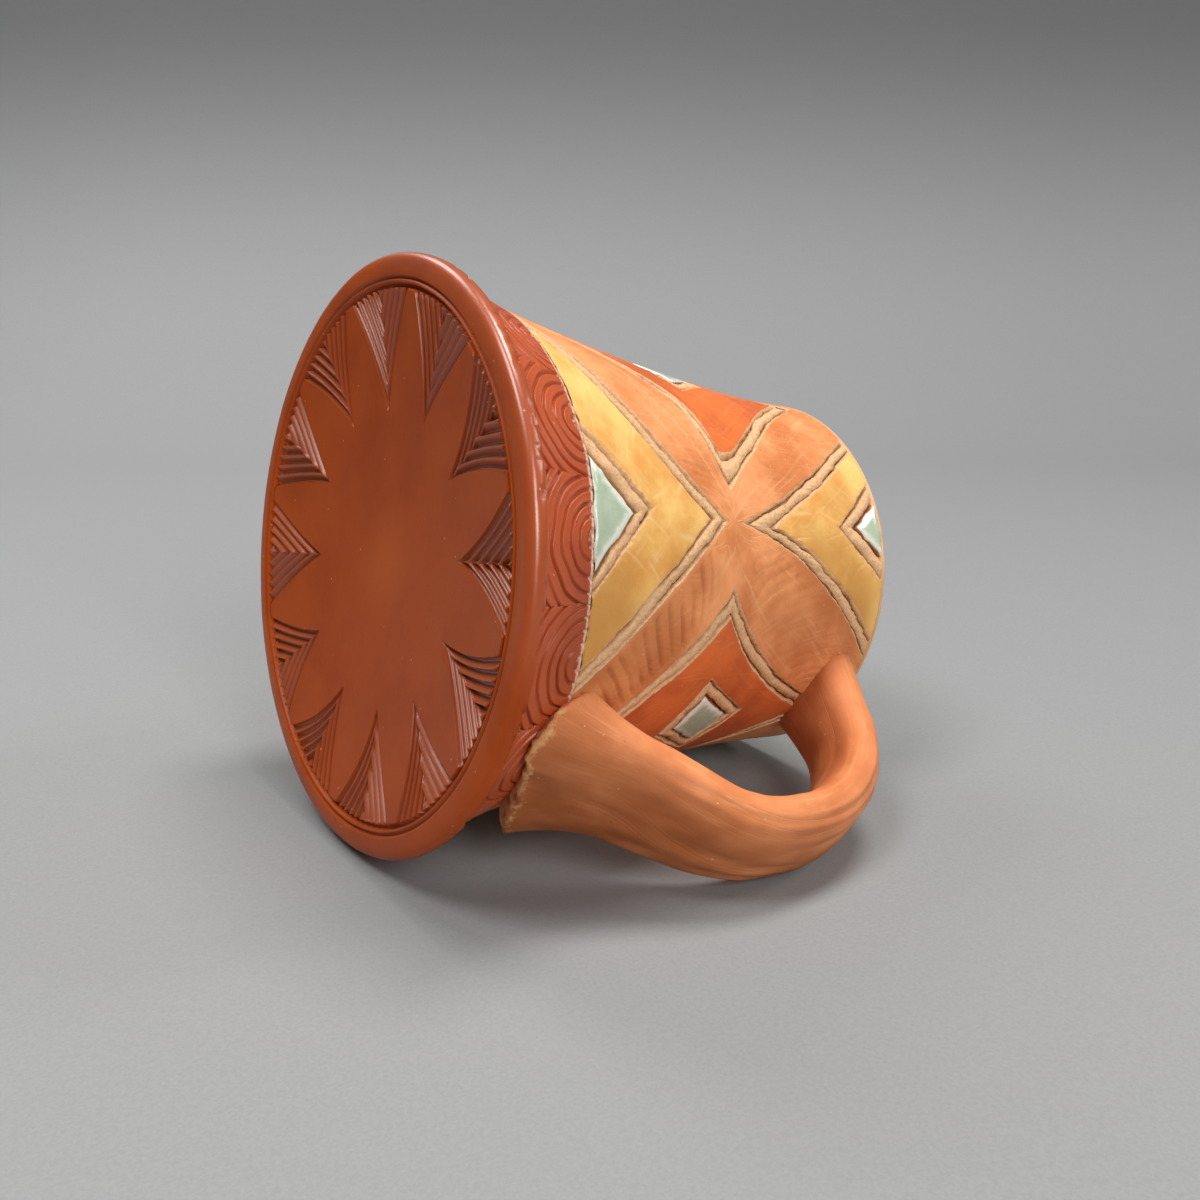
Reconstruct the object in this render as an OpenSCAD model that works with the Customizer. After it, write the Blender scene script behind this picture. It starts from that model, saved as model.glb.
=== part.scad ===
// Hand-built clay mug with a broad carved foot, a carved lattice wall and a pulled strap handle.
// It stands upright: +Z runs up its axis from the middle of the resting face, +X points to the handle.
// The fields of coloured slip and glaze are solids that stand between the carved grooves.

/* [Body] */
// Height from the resting face to the top of the lip
height = 102; // [90:1:115]
// Outer radius of the finished wall at the lip
rim_r = 39; // [36:0.5:43]
// Thickness of the clay behind the carving
wall_t = 4.6; // [3.5:0.1:6]
// Height of the rounded lip above the carving
lip_h = 2; // [1.5:0.1:3]
// How fast the wall draws in above the band, per unit of height
foot_lean_share = 0.2; // [0.12:0.01:0.28]
// How fast the wall opens again at the lip, per unit of height
lip_lean_share = 0.02; // [0:0.01:0.06]
// Thickness of the glaze that lines the inside
liner_t = 0.5; // [0.3:0.1:1]

/* [Base] */
// Widest radius, at the rounded edge of the base
base_r = 57; // [50:0.5:62]
// How far the rounded edge stands out from the face underneath
edge_reach = 4; // [3:0.1:6]
// Height of the rounded edge
edge_h = 4.2; // [3:0.1:6]
// Thickness of the base slab
slab_t = 9; // [7.5:0.1:11]
// Depth of the hollow in the middle of the face underneath
dish_d = 4.4; // [2:0.1:5]
// Width of the flat ring around the hollow, on which the mug rests
rest_w = 1.2; // [0.8:0.1:2]
// Number of carved rays in the hollow
ray_count = 12; // [8:1:14]
// Turn of the rays about the axis, measured from the handle
ray_turn = 17.5; // [0:0.5:30]
// Radius at which the points of the rays start
ray_tip_r = 29; // [24:0.5:34]
// Width of a ray where it meets the ring groove
ray_w = 21; // [15:0.5:21]
// Number of nested cuts in a ray
ray_cuts = 4; // [2:1:5]
// Width of one cut
cut_w = 1.6; // [0.8:0.1:2]
// Depth of the cuts in the base
cut_d = 0.8; // [0.4:0.1:1.5]

/* [Band] */
// How far the foot of the band is set back from the widest radius
band_setback = 3; // [1.5:0.1:3.5]
// How far the band draws in from its foot to its top
band_draw = 4; // [2:0.1:7]
// Height of the top of the band
band_top_z = 17; // [14:0.5:20]

/* [Lattice] */
// Number of flowers around the wall
flower_count = 3; // [3:1:4]
// Turn of the pattern about the axis, measured from the handle
lattice_turn = 5; // [0:1:12]
// Slip left standing between a red diamond's upper corner and the lip
red_lip_gap = 3; // [1.5:0.1:6]
// How far a red diamond's lower corner runs behind the top of the band
red_foot_sink = 4; // [0:0.1:6]
// Depth of the carving, which is how far the fields stand out
carve_d = 1.2; // [0.8:0.1:2]
// Width of the carved border between two fields
groove_w = 3.3; // [2.5:0.1:4]
// Clear height left between the borders of two ochre fields at a flower's middle
tip_gap = 4.4; // [3:0.1:8]

/* [Glaze] */
// Width of the glazed tile at the foot of a lower ochre field
foot_tile_w = 20; // [14:0.5:22]
// Height of that tile
foot_tile_h = 11.5; // [8:0.5:13]
// Width of the glazed tile at the lip
lip_tile_w = 12; // [8:0.5:14]
// Height of that tile
lip_tile_h = 6; // [4:0.5:8]
// Width of the glazed lozenge in a red diamond
lozenge_w = 14; // [8:0.5:16]
// Height of that lozenge
lozenge_h = 13; // [8:0.5:15]
// Height of the lozenge's middle above a flower's middle
lozenge_rise = 3; // [0:0.1:5]

/* [Handle] */
// Distance from the axis to the outermost face of the handle
handle_reach = 77; // [72:0.5:86]
// Height of that outermost point
handle_bow_z = 59; // [54:0.5:64]
// Width of the strap from its outermost point up
strap_w = 19.5; // [15:0.5:23]
// Width of the strap where it leaves the lower joint
strap_root_w = 27; // [23:0.5:30]
// Thickness of the strap at its lower end
strap_root_t = 12.6; // [10:0.1:14]
// Thickness of the strap at its upper end
strap_top_t = 8.5; // [7:0.1:10]
// Height of the middle of the lower joint
root_z = 19.5; // [18:0.5:21]
// Width of the lower joint on the wall
root_w = 33; // [30:0.5:36]
// Height of the lower joint on the wall
root_h = 16.5; // [14:0.5:19]
// Sideways shift of the lower joint, as it was pressed on by hand
root_shift = 2; // [0:0.1:3]
// Width of the upper joint on the wall
top_w = 24; // [20:0.5:28]
// Height of the upper joint on the wall
top_h = 12.5; // [10:0.5:14]
// Plain wall left between the upper joint and the lip
top_gap = 0.5; // [0.5:0.1:4]

/* [Hidden] */
$fn = 96;
// Bond line left between a coat and the clay behind it
coat_gap = 0.1;
// How far a cut runs past the face that it opens
overrun = 1;
// Clear margin of the fields around a handle joint
joint_margin = 1.5;
// Steps along the wall, along a curved border, round an arc and across the hollow
wall_steps = 16;
border_steps = 8;
arc_steps = 10;
dish_steps = 10;
// Height of a slanting border for each unit of its width
slant_share = 1.45;
// Length of a ray's cut along the ray for each unit of its width
cut_slope_share = 2;
// Half widths of the ochre fields where they end, as shares of half a repeat
ochre_lip_share = 0.65;
ochre_foot_share = 0.59;
// Powers that bow the borders: 1 is straight
ochre_lip_bow_share = 1.39;
ochre_foot_bow_share = 1.18;
red_bow_share = 1.35;
// Place of a red diamond's side corners between two flowers, as a share of half a repeat
red_tip_share = 0.19;
// Reach of the handle's curve handles, as shares of its rise or its depth
root_pull_shares = [0.5, 0.5];
bow_pull_shares = [0.42, 0.6];
top_pull_share = 0.56;
// Part of the handle's length that flares into each joint
flare_share = 0.16;
// How soon the lower end's extra width fades out, and how soon a flare closes in: higher is sooner
root_fade_share = 1.5;
flare_close_share = 2;
// Squareness of the strap's section: 1 is an ellipse
section_power_share = 0.85;
section_sides = 28;
sweep_rings = 34;
cap_rings = 4;

face_r = base_r - edge_reach;
band_foot_r = base_r - band_setback;
band_top_r = band_foot_r - band_draw;
// Reach of an outline that is carried through the wall
field_reach = max(base_r, rim_r) + overrun;
half_turn = 180 / flower_count;
wall_foot_z = slab_t;
carve_top_z = height - lip_h;
wall_rise = height - band_top_z;
// Height of a flower's middle, halfway between the corners of a red diamond
red_top_z = carve_top_z - red_lip_gap;
red_foot_z = band_top_z - red_foot_sink;
node_z = (red_top_z + red_foot_z) / 2;
red_corner_h = (red_top_z - red_foot_z) / 2;
red_half = half_turn * (1 - red_tip_share);
red_inset = groove_w * slant_share / skin_r(node_z) * 180 / PI;
frame_inset = groove_w * slant_share;
top_z = carve_top_z - top_gap - top_h / 2;
bow_r = handle_reach - strap_thickness(0.5) / 2;

// Finished outer radius at a height: a straight band, then a curve with a set lean at each end
function skin_r(z) =
    z < band_top_z
        ? band_foot_r + (band_top_r - band_foot_r) * (z - edge_h) / (band_top_z - edge_h)
        : wall_curve((z - band_top_z) / wall_rise);
function wall_curve(h) =
    band_top_r * (2 * h ^ 3 - 3 * h ^ 2 + 1)
    - foot_lean_share * wall_rise * (h ^ 3 - 2 * h ^ 2 + h)
    + rim_r * (3 * h ^ 2 - 2 * h ^ 3)
    + lip_lean_share * wall_rise * (h ^ 3 - h ^ 2);
// Radius of the clay at the floor of the grooves
function clay_r(z) = skin_r(z) - carve_d;
function inside_r(z) = clay_r(z) - wall_t;
function between(a, b, steps) = [for (i = [0 : steps]) a + (b - a) * i / steps];
function reversed(list) = [for (i = [len(list) - 1 : -1 : 0]) list[i]];
// Heights of a coat's profile, with the change of slope at the band kept as a corner
function heights(z0, z1) =
    z0 < band_top_z && z1 > band_top_z
        ? concat([z0], between(band_top_z, z1, wall_steps))
        : z1 <= band_top_z ? [z0, z1] : between(z0, z1, wall_steps);
// A point of a field's outline, seen along the radius through the field's middle
function on_wall(angle, z) = [skin_r(z) * sin(angle), z];

// A coat of the wall between two heights, from one offset off the finished face to another
module coat(z0, z1, low, high) {
    zs = heights(z0, z1);
    rotate_extrude()
        polygon(concat([for (z = zs) [skin_r(z) + low, z]],
            [for (z = reversed(zs)) [skin_r(z) + high, z]]));
}

// An outline carried out from the axis, through the wall
module field(outline) {
    rotate([90, 0, 90])
        linear_extrude(field_reach)
            polygon(outline);
}

// The coat that the carving leaves standing
module carved_coat(z0, z1) {
    coat(z0, z1, coat_gap - carve_d, 0);
}

module each_flower() {
    for (i = [0 : flower_count - 1])
        rotate([0, 0, lattice_turn + half_turn * (2 * i + 1)])
            children();
}

module each_diamond() {
    for (i = [0 : flower_count - 1])
        rotate([0, 0, lattice_turn + half_turn * 2 * i])
            children();
}

// Outline of an ochre field: its point near the flower's middle, its ends past the coat
function ochre_outline(end_z, end_angle, power, inset) =
    let (side = end_z > node_z ? 1 : -1,
        tip_z = node_z + side * (tip_gap / 2 + inset),
        run = abs(end_z - node_z) - tip_gap / 2,
        zs = between(tip_z, end_z + side * overrun, border_steps),
        right = [for (z = zs) on_wall(end_angle * (abs(z - tip_z) / run) ^ power, z)])
    concat(right, [for (i = [len(right) - 1 : -1 : 1]) [-right[i][0], right[i][1]]]);
function lower_ochre(inset) =
    ochre_outline(band_top_z, half_turn * ochre_foot_share, ochre_foot_bow_share, inset);
function upper_ochre(inset) =
    ochre_outline(carve_top_z, half_turn * ochre_lip_share, ochre_lip_bow_share, inset);
// Outline of a red diamond with hollow sides
function red_side(angle, inset) =
    red_corner_h * (1 - (abs(angle) + inset) / red_half) ^ red_bow_share;
function red_outline(inset) =
    let (reach = red_half - inset,
        angles = between(-reach, reach, 2 * border_steps))
    concat([for (a = angles) on_wall(a, node_z + red_side(a, inset))],
        [for (i = [len(angles) - 2 : -1 : 1]) on_wall(angles[i], node_z - red_side(angles[i], inset))]);
// Outlines of the glazed tiles, with the groove around them as an inset
function tile_outline(foot_z, w, h, side, inset) =
    let (half = w / 2 + inset,
        rise = side * (h + inset * 2 * h / w))
    [[-half, foot_z], [-half, foot_z - side * overrun], [half, foot_z - side * overrun],
        [half, foot_z], [0, foot_z + rise]];
function foot_tile(inset) = tile_outline(band_top_z, foot_tile_w, foot_tile_h, 1, inset);
function lip_tile(inset) = tile_outline(carve_top_z, lip_tile_w, lip_tile_h, -1, inset);
function lozenge(inset) =
    let (half_w = lozenge_w / 2 + inset,
        half_h = lozenge_h / 2 + inset * lozenge_h / lozenge_w,
        middle_z = node_z + lozenge_rise)
    [[-half_w, middle_z], [0, middle_z - half_h], [half_w, middle_z], [0, middle_z + half_h]];

// One ring of the handle's section: a squared ellipse, as shares of its two half sizes
function section_share(i) =
    let (a = 360 * i / section_sides)
    [sign(cos(a)) * abs(cos(a)) ^ section_power_share, sign(sin(a)) * abs(sin(a)) ^ section_power_share];
function lerp(a, b, t) = a + (b - a) * t;
function bezier(p, t) =
    p[0] * (1 - t) ^ 3 + 3 * p[1] * t * (1 - t) ^ 2 + 3 * p[2] * t ^ 2 * (1 - t) + p[3] * t ^ 3;
// The handle's middle line, radius and height, from the lower joint to the upper one
root_point = [clay_r(root_z), root_z];
bow_point = [bow_r, handle_bow_z];
top_point = [clay_r(top_z), top_z];
root_span = bow_point - root_point;
top_span = top_point - bow_point;
lower_curve = [root_point,
    root_point + [root_span[0] * root_pull_shares[0], root_span[1] * root_pull_shares[1]],
    bow_point - [0, root_span[1] * bow_pull_shares[0]], bow_point];
upper_curve = [bow_point, bow_point + [0, top_span[1] * bow_pull_shares[1]],
    top_point - [top_span[0] * top_pull_share, 0], top_point];
function mid_line(t) = t < 0.5 ? bezier(lower_curve, 2 * t) : bezier(upper_curve, 2 * t - 1);
function unit(v) = v / norm(v);
step_share = 0.004;
function tangent(t) = unit(mid_line(min(1, t + step_share)) - mid_line(max(0, t - step_share)));
// How much of the lower end's width and shift is left part of the way along the lower half
function root_left(t) = max(0, 1 - 2 * t) ^ root_fade_share;
function strap_thickness(t) = lerp(strap_root_t, strap_top_t, t);
function strap_width(t) = lerp(strap_w, strap_root_w, root_left(t));
function strap_ring(t) =
    let (c = mid_line(t),
        d = tangent(t),
        n = [d[1], -d[0]])
    [for (i = [0 : section_sides - 1])
        let (s = section_share(i),
            p = c + n * s[1] * strap_thickness(t) / 2)
        [p[0], s[0] * strap_width(t) / 2 + root_shift * root_left(t), p[1]]];
// A ring of a joint, laid on the clay and drawn in by a share
function joint_ring(z, w, h, shift, turn, share) =
    [for (i = [0 : section_sides - 1])
        let (s = section_share(i) * share,
            y = shift + s[0] * w / 2,
            pz = z + turn * s[1] * h / 2,
            r = clay_r(pz) + coat_gap)
        [sqrt(r * r - y * y), y, pz]];
function root_ring(share) = joint_ring(root_z, root_w, root_h, root_shift, -1, share);
function top_ring(share) = joint_ring(top_z, top_w, top_h, 0, 1, share);
function hermite(a, b, leave, arrive, t) =
    a * (2 * t ^ 3 - 3 * t ^ 2 + 1) + leave * (t ^ 3 - 2 * t ^ 2 + t)
    + b * (3 * t ^ 2 - 2 * t ^ 3) + arrive * (t ^ 3 - t ^ 2);
// A ring part of the way from a joint to the strap: it closes in sideways first, then joins the strap's line
function flare_ring(joint, strap, along, t) =
    [for (i = [0 : section_sides - 1])
        let (span = strap[i] - joint[i],
            leave = [span[0], span[1] * flare_close_share, span[2]],
            arrive = [along[0], 0, along[1]] * norm(span))
        hermite(joint[i], strap[i], leave, arrive, t)];
function handle_ring(t) =
    t < flare_share
        ? flare_ring(root_ring(1), strap_ring(flare_share), tangent(flare_share), t / flare_share)
        : t > 1 - flare_share
            ? flare_ring(top_ring(1), strap_ring(1 - flare_share), -tangent(1 - flare_share),
                (1 - t) / flare_share)
            : strap_ring(t);
handle_rings = concat(
    [for (i = [1 : cap_rings - 1]) root_ring(i / cap_rings)],
    [for (i = [0 : sweep_rings]) handle_ring(i / sweep_rings)],
    [for (i = [cap_rings - 1 : -1 : 1]) top_ring(i / cap_rings)]);
handle_points = concat([for (ring = handle_rings, p = ring) p], [root_ring(0)[0], top_ring(0)[0]]);
ring_total = len(handle_rings);
function ring_index(ring, side) = ring * section_sides + side % section_sides;
handle_faces = concat(
    [for (k = [0 : ring_total - 2], i = [0 : section_sides - 1], half = [0, 1])
        half == 0
            ? [ring_index(k, i), ring_index(k, i + 1), ring_index(k + 1, i + 1)]
            : [ring_index(k, i), ring_index(k + 1, i + 1), ring_index(k + 1, i)]],
    [for (i = [0 : section_sides - 1])
        [ring_index(0, i + 1), ring_index(0, i), ring_total * section_sides]],
    [for (i = [0 : section_sides - 1])
        [ring_index(ring_total - 1, i), ring_index(ring_total - 1, i + 1), ring_total * section_sides + 1]]);

// The room that the handle's joints take out of the fields and the band
function joint_outline(z, w, h, shift) =
    [for (i = [0 : section_sides - 1])
        let (s = section_share(i))
        [shift + s[0] * (w / 2 + joint_margin), z + s[1] * (h / 2 + joint_margin)]];
module handle_joints() {
    top_half = top_w / 2 + joint_margin;
    field(joint_outline(root_z, root_w, root_h, root_shift));
    field(joint_outline(top_z, top_w, top_h, 0));
    // No sliver of slip is left between the upper joint and the lip
    field([[-top_half, top_z], [top_half, top_z], [top_half, height], [-top_half, height]]);
}

// Height of the hollow's face at a radius
dish_r = face_r - rest_w;
function dish_z(r) = dish_d * (1 - (r / dish_r) ^ 2);
dish_line = [for (r = between(0, dish_r, dish_steps)) [r, dish_z(r)]];

// One carved ray: nested chevrons that open towards the edge of the base
ring_r = dish_r - cut_w / 2;
ray_run = ring_r - cut_w - ray_tip_r;
cut_step = ray_run / ray_cuts;
module ray() {
    for (i = [0 : ray_cuts - 1]) {
        tip = ray_tip_r + cut_step * i;
        length = ring_r - cut_w - tip;
        half = ray_w / 2 * length / ray_run;
        back = min(cut_w * cut_slope_share, length);
        inner_half = half * (length - back) / length;
        polygon([[tip, 0], [tip + length, -half], [tip + length, -inner_half],
            [tip + back, 0], [tip + length, inner_half], [tip + length, half]]);
    }
}

module base_slab() {
    edge_mid_z = edge_h / 2;
    last = acos((band_foot_r - face_r) / edge_reach);
    arc = [for (a = between(-90, last, arc_steps))
        [face_r + edge_reach * cos(a), edge_mid_z + edge_mid_z * sin(a)]];
    color("saddlebrown")
        difference() {
            rotate_extrude()
                polygon(concat(dish_line, arc,
                    [[clay_r(edge_h), arc[arc_steps][1]], [clay_r(slab_t), slab_t], [0, slab_t]]));
            intersection() {
                translate([0, 0, -overrun])
                    linear_extrude(overrun + dish_d + cut_d)
                        for (i = [0 : ray_count - 1])
                            rotate(ray_turn + 360 * i / ray_count)
                                ray();
                rotate_extrude()
                    polygon(concat([[0, -overrun]], [for (p = dish_line) [p[0], p[1] + cut_d]],
                        [[dish_r, -overrun]]));
            }
            rotate_extrude()
                polygon([[ring_r - cut_w / 2, dish_z(ring_r - cut_w / 2)], [ring_r, dish_z(ring_r) + cut_d],
                    [dish_r, 0], [dish_r, -overrun], [ring_r - cut_w / 2, -overrun]]);
        }
}

module wall() {
    zs = concat([wall_foot_z], between(band_top_z, carve_top_z, wall_steps));
    lip_out = skin_r(carve_top_z);
    lip_in = inside_r(carve_top_z);
    lip_mid = (lip_out + lip_in) / 2;
    lip_half = (lip_out - lip_in) / 2;
    lip = [for (a = between(0, 180, arc_steps)) [lip_mid + lip_half * cos(a), carve_top_z + lip_h * sin(a)]];
    color("burlywood")
        rotate_extrude()
            polygon(concat([for (z = zs) [clay_r(z), z]], lip,
                [for (i = [len(zs) - 2 : -1 : 0]) [inside_r(zs[i]), zs[i]]]));
}

module handle() {
    color("sienna")
        polyhedron(handle_points, handle_faces);
}

module liner_glaze() {
    zs = concat([wall_foot_z], between(band_top_z, carve_top_z, wall_steps));
    outer = [for (z = zs) [inside_r(z) - coat_gap, z]];
    inner = [for (i = [len(zs) - 1 : -1 : 1]) [inside_r(zs[i]) - coat_gap - liner_t, zs[i]]];
    floor_r = inside_r(wall_foot_z + liner_t) - coat_gap - liner_t;
    color("honeydew")
        rotate_extrude()
            polygon(concat([[0, wall_foot_z]], outer, inner,
                [[floor_r, wall_foot_z + liner_t], [0, wall_foot_z + liner_t]]));
}

module scallop_band() {
    color("brown")
        difference() {
            carved_coat(edge_h + coat_gap, band_top_z);
            handle_joints();
        }
}

module petal_lattice() {
    color("chocolate")
        difference() {
            carved_coat(band_top_z + coat_gap, carve_top_z - coat_gap);
            each_flower() {
                field(lower_ochre(0));
                field(upper_ochre(0));
            }
            each_diamond()
                field(red_outline(0));
            handle_joints();
        }
}

module lower_ochre_fields() {
    color("goldenrod")
        difference() {
            intersection() {
                carved_coat(band_top_z + coat_gap, node_z);
                each_flower()
                    field(lower_ochre(frame_inset));
            }
            each_flower()
                field(foot_tile(frame_inset));
            handle_joints();
        }
}

module upper_ochre_fields() {
    color("goldenrod")
        difference() {
            intersection() {
                carved_coat(node_z, carve_top_z - coat_gap);
                each_flower()
                    field(upper_ochre(frame_inset));
            }
            each_flower()
                field(lip_tile(frame_inset));
            handle_joints();
        }
}

module red_diamonds() {
    color("orangered")
        difference() {
            intersection() {
                carved_coat(band_top_z + coat_gap, carve_top_z - coat_gap);
                each_diamond()
                    field(red_outline(red_inset));
            }
            each_diamond()
                field(lozenge(frame_inset));
            handle_joints();
        }
}

module foot_tiles() {
    color("darkseagreen")
        intersection() {
            carved_coat(band_top_z + coat_gap, node_z);
            each_flower()
                field(foot_tile(0));
        }
}

module lip_tiles() {
    color("darkseagreen")
        intersection() {
            carved_coat(node_z, carve_top_z - coat_gap);
            each_flower()
                field(lip_tile(0));
        }
}

module lozenge_tiles() {
    color("darkseagreen")
        intersection() {
            carved_coat(band_top_z + coat_gap, carve_top_z - coat_gap);
            each_diamond()
                field(lozenge(0));
        }
}

base_slab();
wall();
handle();
liner_glaze();
scallop_band();
petal_lattice();
lower_ochre_fields();
upper_ochre_fields();
red_diamonds();
foot_tiles();
lip_tiles();
lozenge_tiles();
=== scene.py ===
import math
import random

import bmesh
import bpy
from mathutils import Matrix, Vector, noise


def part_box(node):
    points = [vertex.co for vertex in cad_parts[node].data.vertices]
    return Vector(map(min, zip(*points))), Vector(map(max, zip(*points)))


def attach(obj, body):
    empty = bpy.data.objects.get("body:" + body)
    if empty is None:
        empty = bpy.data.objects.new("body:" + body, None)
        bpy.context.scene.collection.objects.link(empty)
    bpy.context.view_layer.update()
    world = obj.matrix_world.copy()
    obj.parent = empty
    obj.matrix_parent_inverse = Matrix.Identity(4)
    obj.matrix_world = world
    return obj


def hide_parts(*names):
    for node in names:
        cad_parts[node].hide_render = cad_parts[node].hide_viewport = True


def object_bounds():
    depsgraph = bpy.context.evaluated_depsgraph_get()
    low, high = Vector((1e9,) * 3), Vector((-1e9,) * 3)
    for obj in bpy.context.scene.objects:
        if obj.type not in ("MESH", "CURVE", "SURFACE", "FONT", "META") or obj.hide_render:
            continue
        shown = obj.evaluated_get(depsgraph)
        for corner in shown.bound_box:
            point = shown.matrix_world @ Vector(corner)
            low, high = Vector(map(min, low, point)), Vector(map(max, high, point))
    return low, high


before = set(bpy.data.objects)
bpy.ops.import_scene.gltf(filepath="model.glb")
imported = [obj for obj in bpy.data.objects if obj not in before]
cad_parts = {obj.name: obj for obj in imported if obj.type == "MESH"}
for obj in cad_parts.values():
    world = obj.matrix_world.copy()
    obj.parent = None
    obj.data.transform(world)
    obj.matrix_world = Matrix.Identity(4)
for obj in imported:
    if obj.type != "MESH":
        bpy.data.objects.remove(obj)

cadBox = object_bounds()
mm = 0.001  # shapes are worked out in millimetres and scaled once, when a piece is finished
random.seed(5)
noise.seed_set(5)
pieces = []


def nodeTop(node):
    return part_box(node)[1][2] / mm


# The body that every coat lies on. Angles are in degrees from the handle, lifts are off the finished face
body = {
    "height": nodeTop("wall"),
    "bandTop": nodeTop("scallop_band"),
    "bandFoot": 4.2,
    "bandTopRadius": 50,
    "bandFootRadius": 54,
    "rimRadius": 39,
    "footLean": 0.2,       # how fast the wall draws in above the band
    "lipLean": 0.02,       # how fast it opens again at the lip
    "lip": 2,
    "floor": nodeTop("base_slab"),
    "carve": 1.2,          # depth of the carving
    "clay": 4.6,           # thickness of the wall behind it
    "liner": 0.5,
    "wander": 0.35,        # how far hand-drawn lines stray
    "wanderLength": 13,
    "shake": 0.1,          # the finer shake of the tool
    "shakeLength": 3,
    "swell": 0.25,
    "crumble": 0.17,       # torn grain on cut clay
    "tear": 0.3,           # how far cut edges stray sideways
    "pull": 9,             # how far a line is bent to meet its neighbour
    "coat": 0.4,           # thickness of a coat
    "ease": 0.25,          # how far a clipped edge is eased down
    "clipBare": 0.6,       # how bare a clipped edge is
    "lipSpare": 0.05,      # coats run this much nearer to the lip than to the band
    "deepStart": 0.1, "deepRun": 0.8,  # where the painted shade in a groove starts, and over what depth it grows
    "tornFrom": 0.3,       # clay barer than this is torn
    "weld": 0.02,          # vertices nearer than this are joined
}
bandTop, bandFoot = body["bandTop"], body["bandFoot"]
lipStart = body["height"] - body["lip"]


def hermite(start, end, leave, arrive, t):
    return (start * (2 * t**3 - 3 * t**2 + 1) + leave * (t**3 - 2 * t**2 + t)
            + end * (3 * t**2 - 2 * t**3) + arrive * (t**3 - t**2))


def skinRadius(z):
    if z < bandTop:
        share = (z - bandFoot) / (bandTop - bandFoot)
        return body["bandFootRadius"] + (body["bandTopRadius"] - body["bandFootRadius"]) * share
    rise = body["height"] - bandTop
    return hermite(body["bandTopRadius"], body["rimRadius"], -body["footLean"] * rise, body["lipLean"] * rise,
                   (z - bandTop) / rise)


def clayRadius(z):
    return skinRadius(z) - body["carve"]


def arcOf(z):
    return math.radians(skinRadius(z))  # millimetres round the wall for one degree


def polar(radius, angle, z):
    turn = math.radians(angle)
    return Vector((radius * math.cos(turn), radius * math.sin(turn), z))


def turnOf(place):
    return math.degrees(math.atan2(place.y, place.x))


def ripple(x, y, z):
    return noise.noise(Vector((x, y, z)))


def bowed(t, bow, power):
    return (1 - bow) * t + bow * t**power


def lerp(a, b, t):
    return tuple(p + (q - p) * t for p, q in zip(a, b))


def smooth(t):
    t = min(1, max(0, t))
    return t * t * (3 - 2 * t)


def onWall(angle, z, lift):
    place = polar(skinRadius(z), angle, z)
    drift = noise.noise_vector(place / body["wanderLength"]) * body["wander"]
    drift += noise.noise_vector(place / body["shakeLength"]) * body["shake"]
    swell = noise.noise(place / (2 * body["wanderLength"])) * body["swell"]
    drift.y *= smooth((lipStart - z) / body["lip"])  # the lip stays level
    return polar(skinRadius(z) + lift + swell, angle + drift.x / arcOf(z), z + drift.y)


# Lines on the wall: lists of (angle, z)
def spans(points):
    lengths = [0]
    for p, q in zip(points, points[1:]):
        lengths.append(lengths[-1] + math.hypot((q[0] - p[0]) * arcOf(p[1]), q[1] - p[1]))
    return lengths


def offsetLine(points, gap):
    moved = []
    for i, (angle, z) in enumerate(points):
        before, after = points[max(i - 1, 0)], points[min(i + 1, len(points) - 1)]
        across, up = (after[0] - before[0]) * arcOf(z), after[1] - before[1]
        size = math.hypot(across, up)
        moved.append((angle + gap * up / size / arcOf(z), z - gap * across / size))
    return moved


def meetLine(points, axis, value):  # trims or extends the start to where one coordinate has a value
    side = math.copysign(1, points[-1][axis] - value)
    i = 0
    while i < len(points) - 2 and (points[i + 1][axis] - value) * side <= 0:
        i += 1
    p, q = points[i], points[i + 1]
    return [lerp(p, q, (value - p[axis]) / (q[axis] - p[axis]))] + points[i + 1:]


def endLine(points, axis, value):
    return meetLine(points[::-1], axis, value)[::-1]


def pullStart(points, goal):  # moves the start to a goal, and what follows less and less
    shift = (goal[0] - points[0][0], goal[1] - points[0][1])
    moved = []
    for point, length in zip(points, spans(points)):
        hold = max(0, 1 - length / body["pull"]) ** 2
        moved.append(tuple(c + d * hold for c, d in zip(point, shift)))
    return moved


def resample(points, count):
    lengths = spans(points)
    spaced, k = [], 0
    for i in range(count):
        goal = lengths[-1] * i / (count - 1)
        while k < len(points) - 2 and lengths[k + 1] < goal:
            k += 1
        spaced.append(lerp(points[k], points[k + 1], (goal - lengths[k]) / (lengths[k + 1] - lengths[k])))
    return spaced


def middleOf(points):
    return tuple(sum(p[k] for p in points) / len(points) for k in (0, 1))


def framed(corners, stretch=None):  # a tile, and how much wider its border is cut along each side
    return {"corners": corners, "stretch": stretch or [1] * len(corners)}


def offsetPolygon(tile, gap):  # a tile's corners with its sides moved out; only the border is stretched
    corners = tile["corners"]
    middle = middleOf(corners)
    arc = arcOf(middle[1])
    flat = [Vector(((a - middle[0]) * arc, z - middle[1])) for a, z in corners]
    sides = []
    for p, q, stretch in zip(flat, flat[1:] + flat[:1], tile["stretch"]):
        along = (q - p).normalized()
        out = Vector((along.y, -along.x))
        if out.dot(p + q) < 0:
            out = -out
        sides.append((p + out * gap * (stretch if gap > tileShape["edge"] else 1), along))
    moved = []
    for (p, d), (q, e) in zip(sides[-1:] + sides[:-1], sides):
        t = ((q - p).x * e.y - (q - p).y * e.x) / (d.x * e.y - d.y * e.x)
        corner = p + d * t
        moved.append((corner.x / arc + middle[0], corner.y + middle[1]))
    return moved


def roundOutline(corners, perSide):  # a closed line through the corners
    points = []
    for p, q in zip(corners, corners[1:] + corners[:1]):
        points += [lerp(p, q, k / perSide) for k in range(perSide)]
    return points + points[:1]


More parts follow.
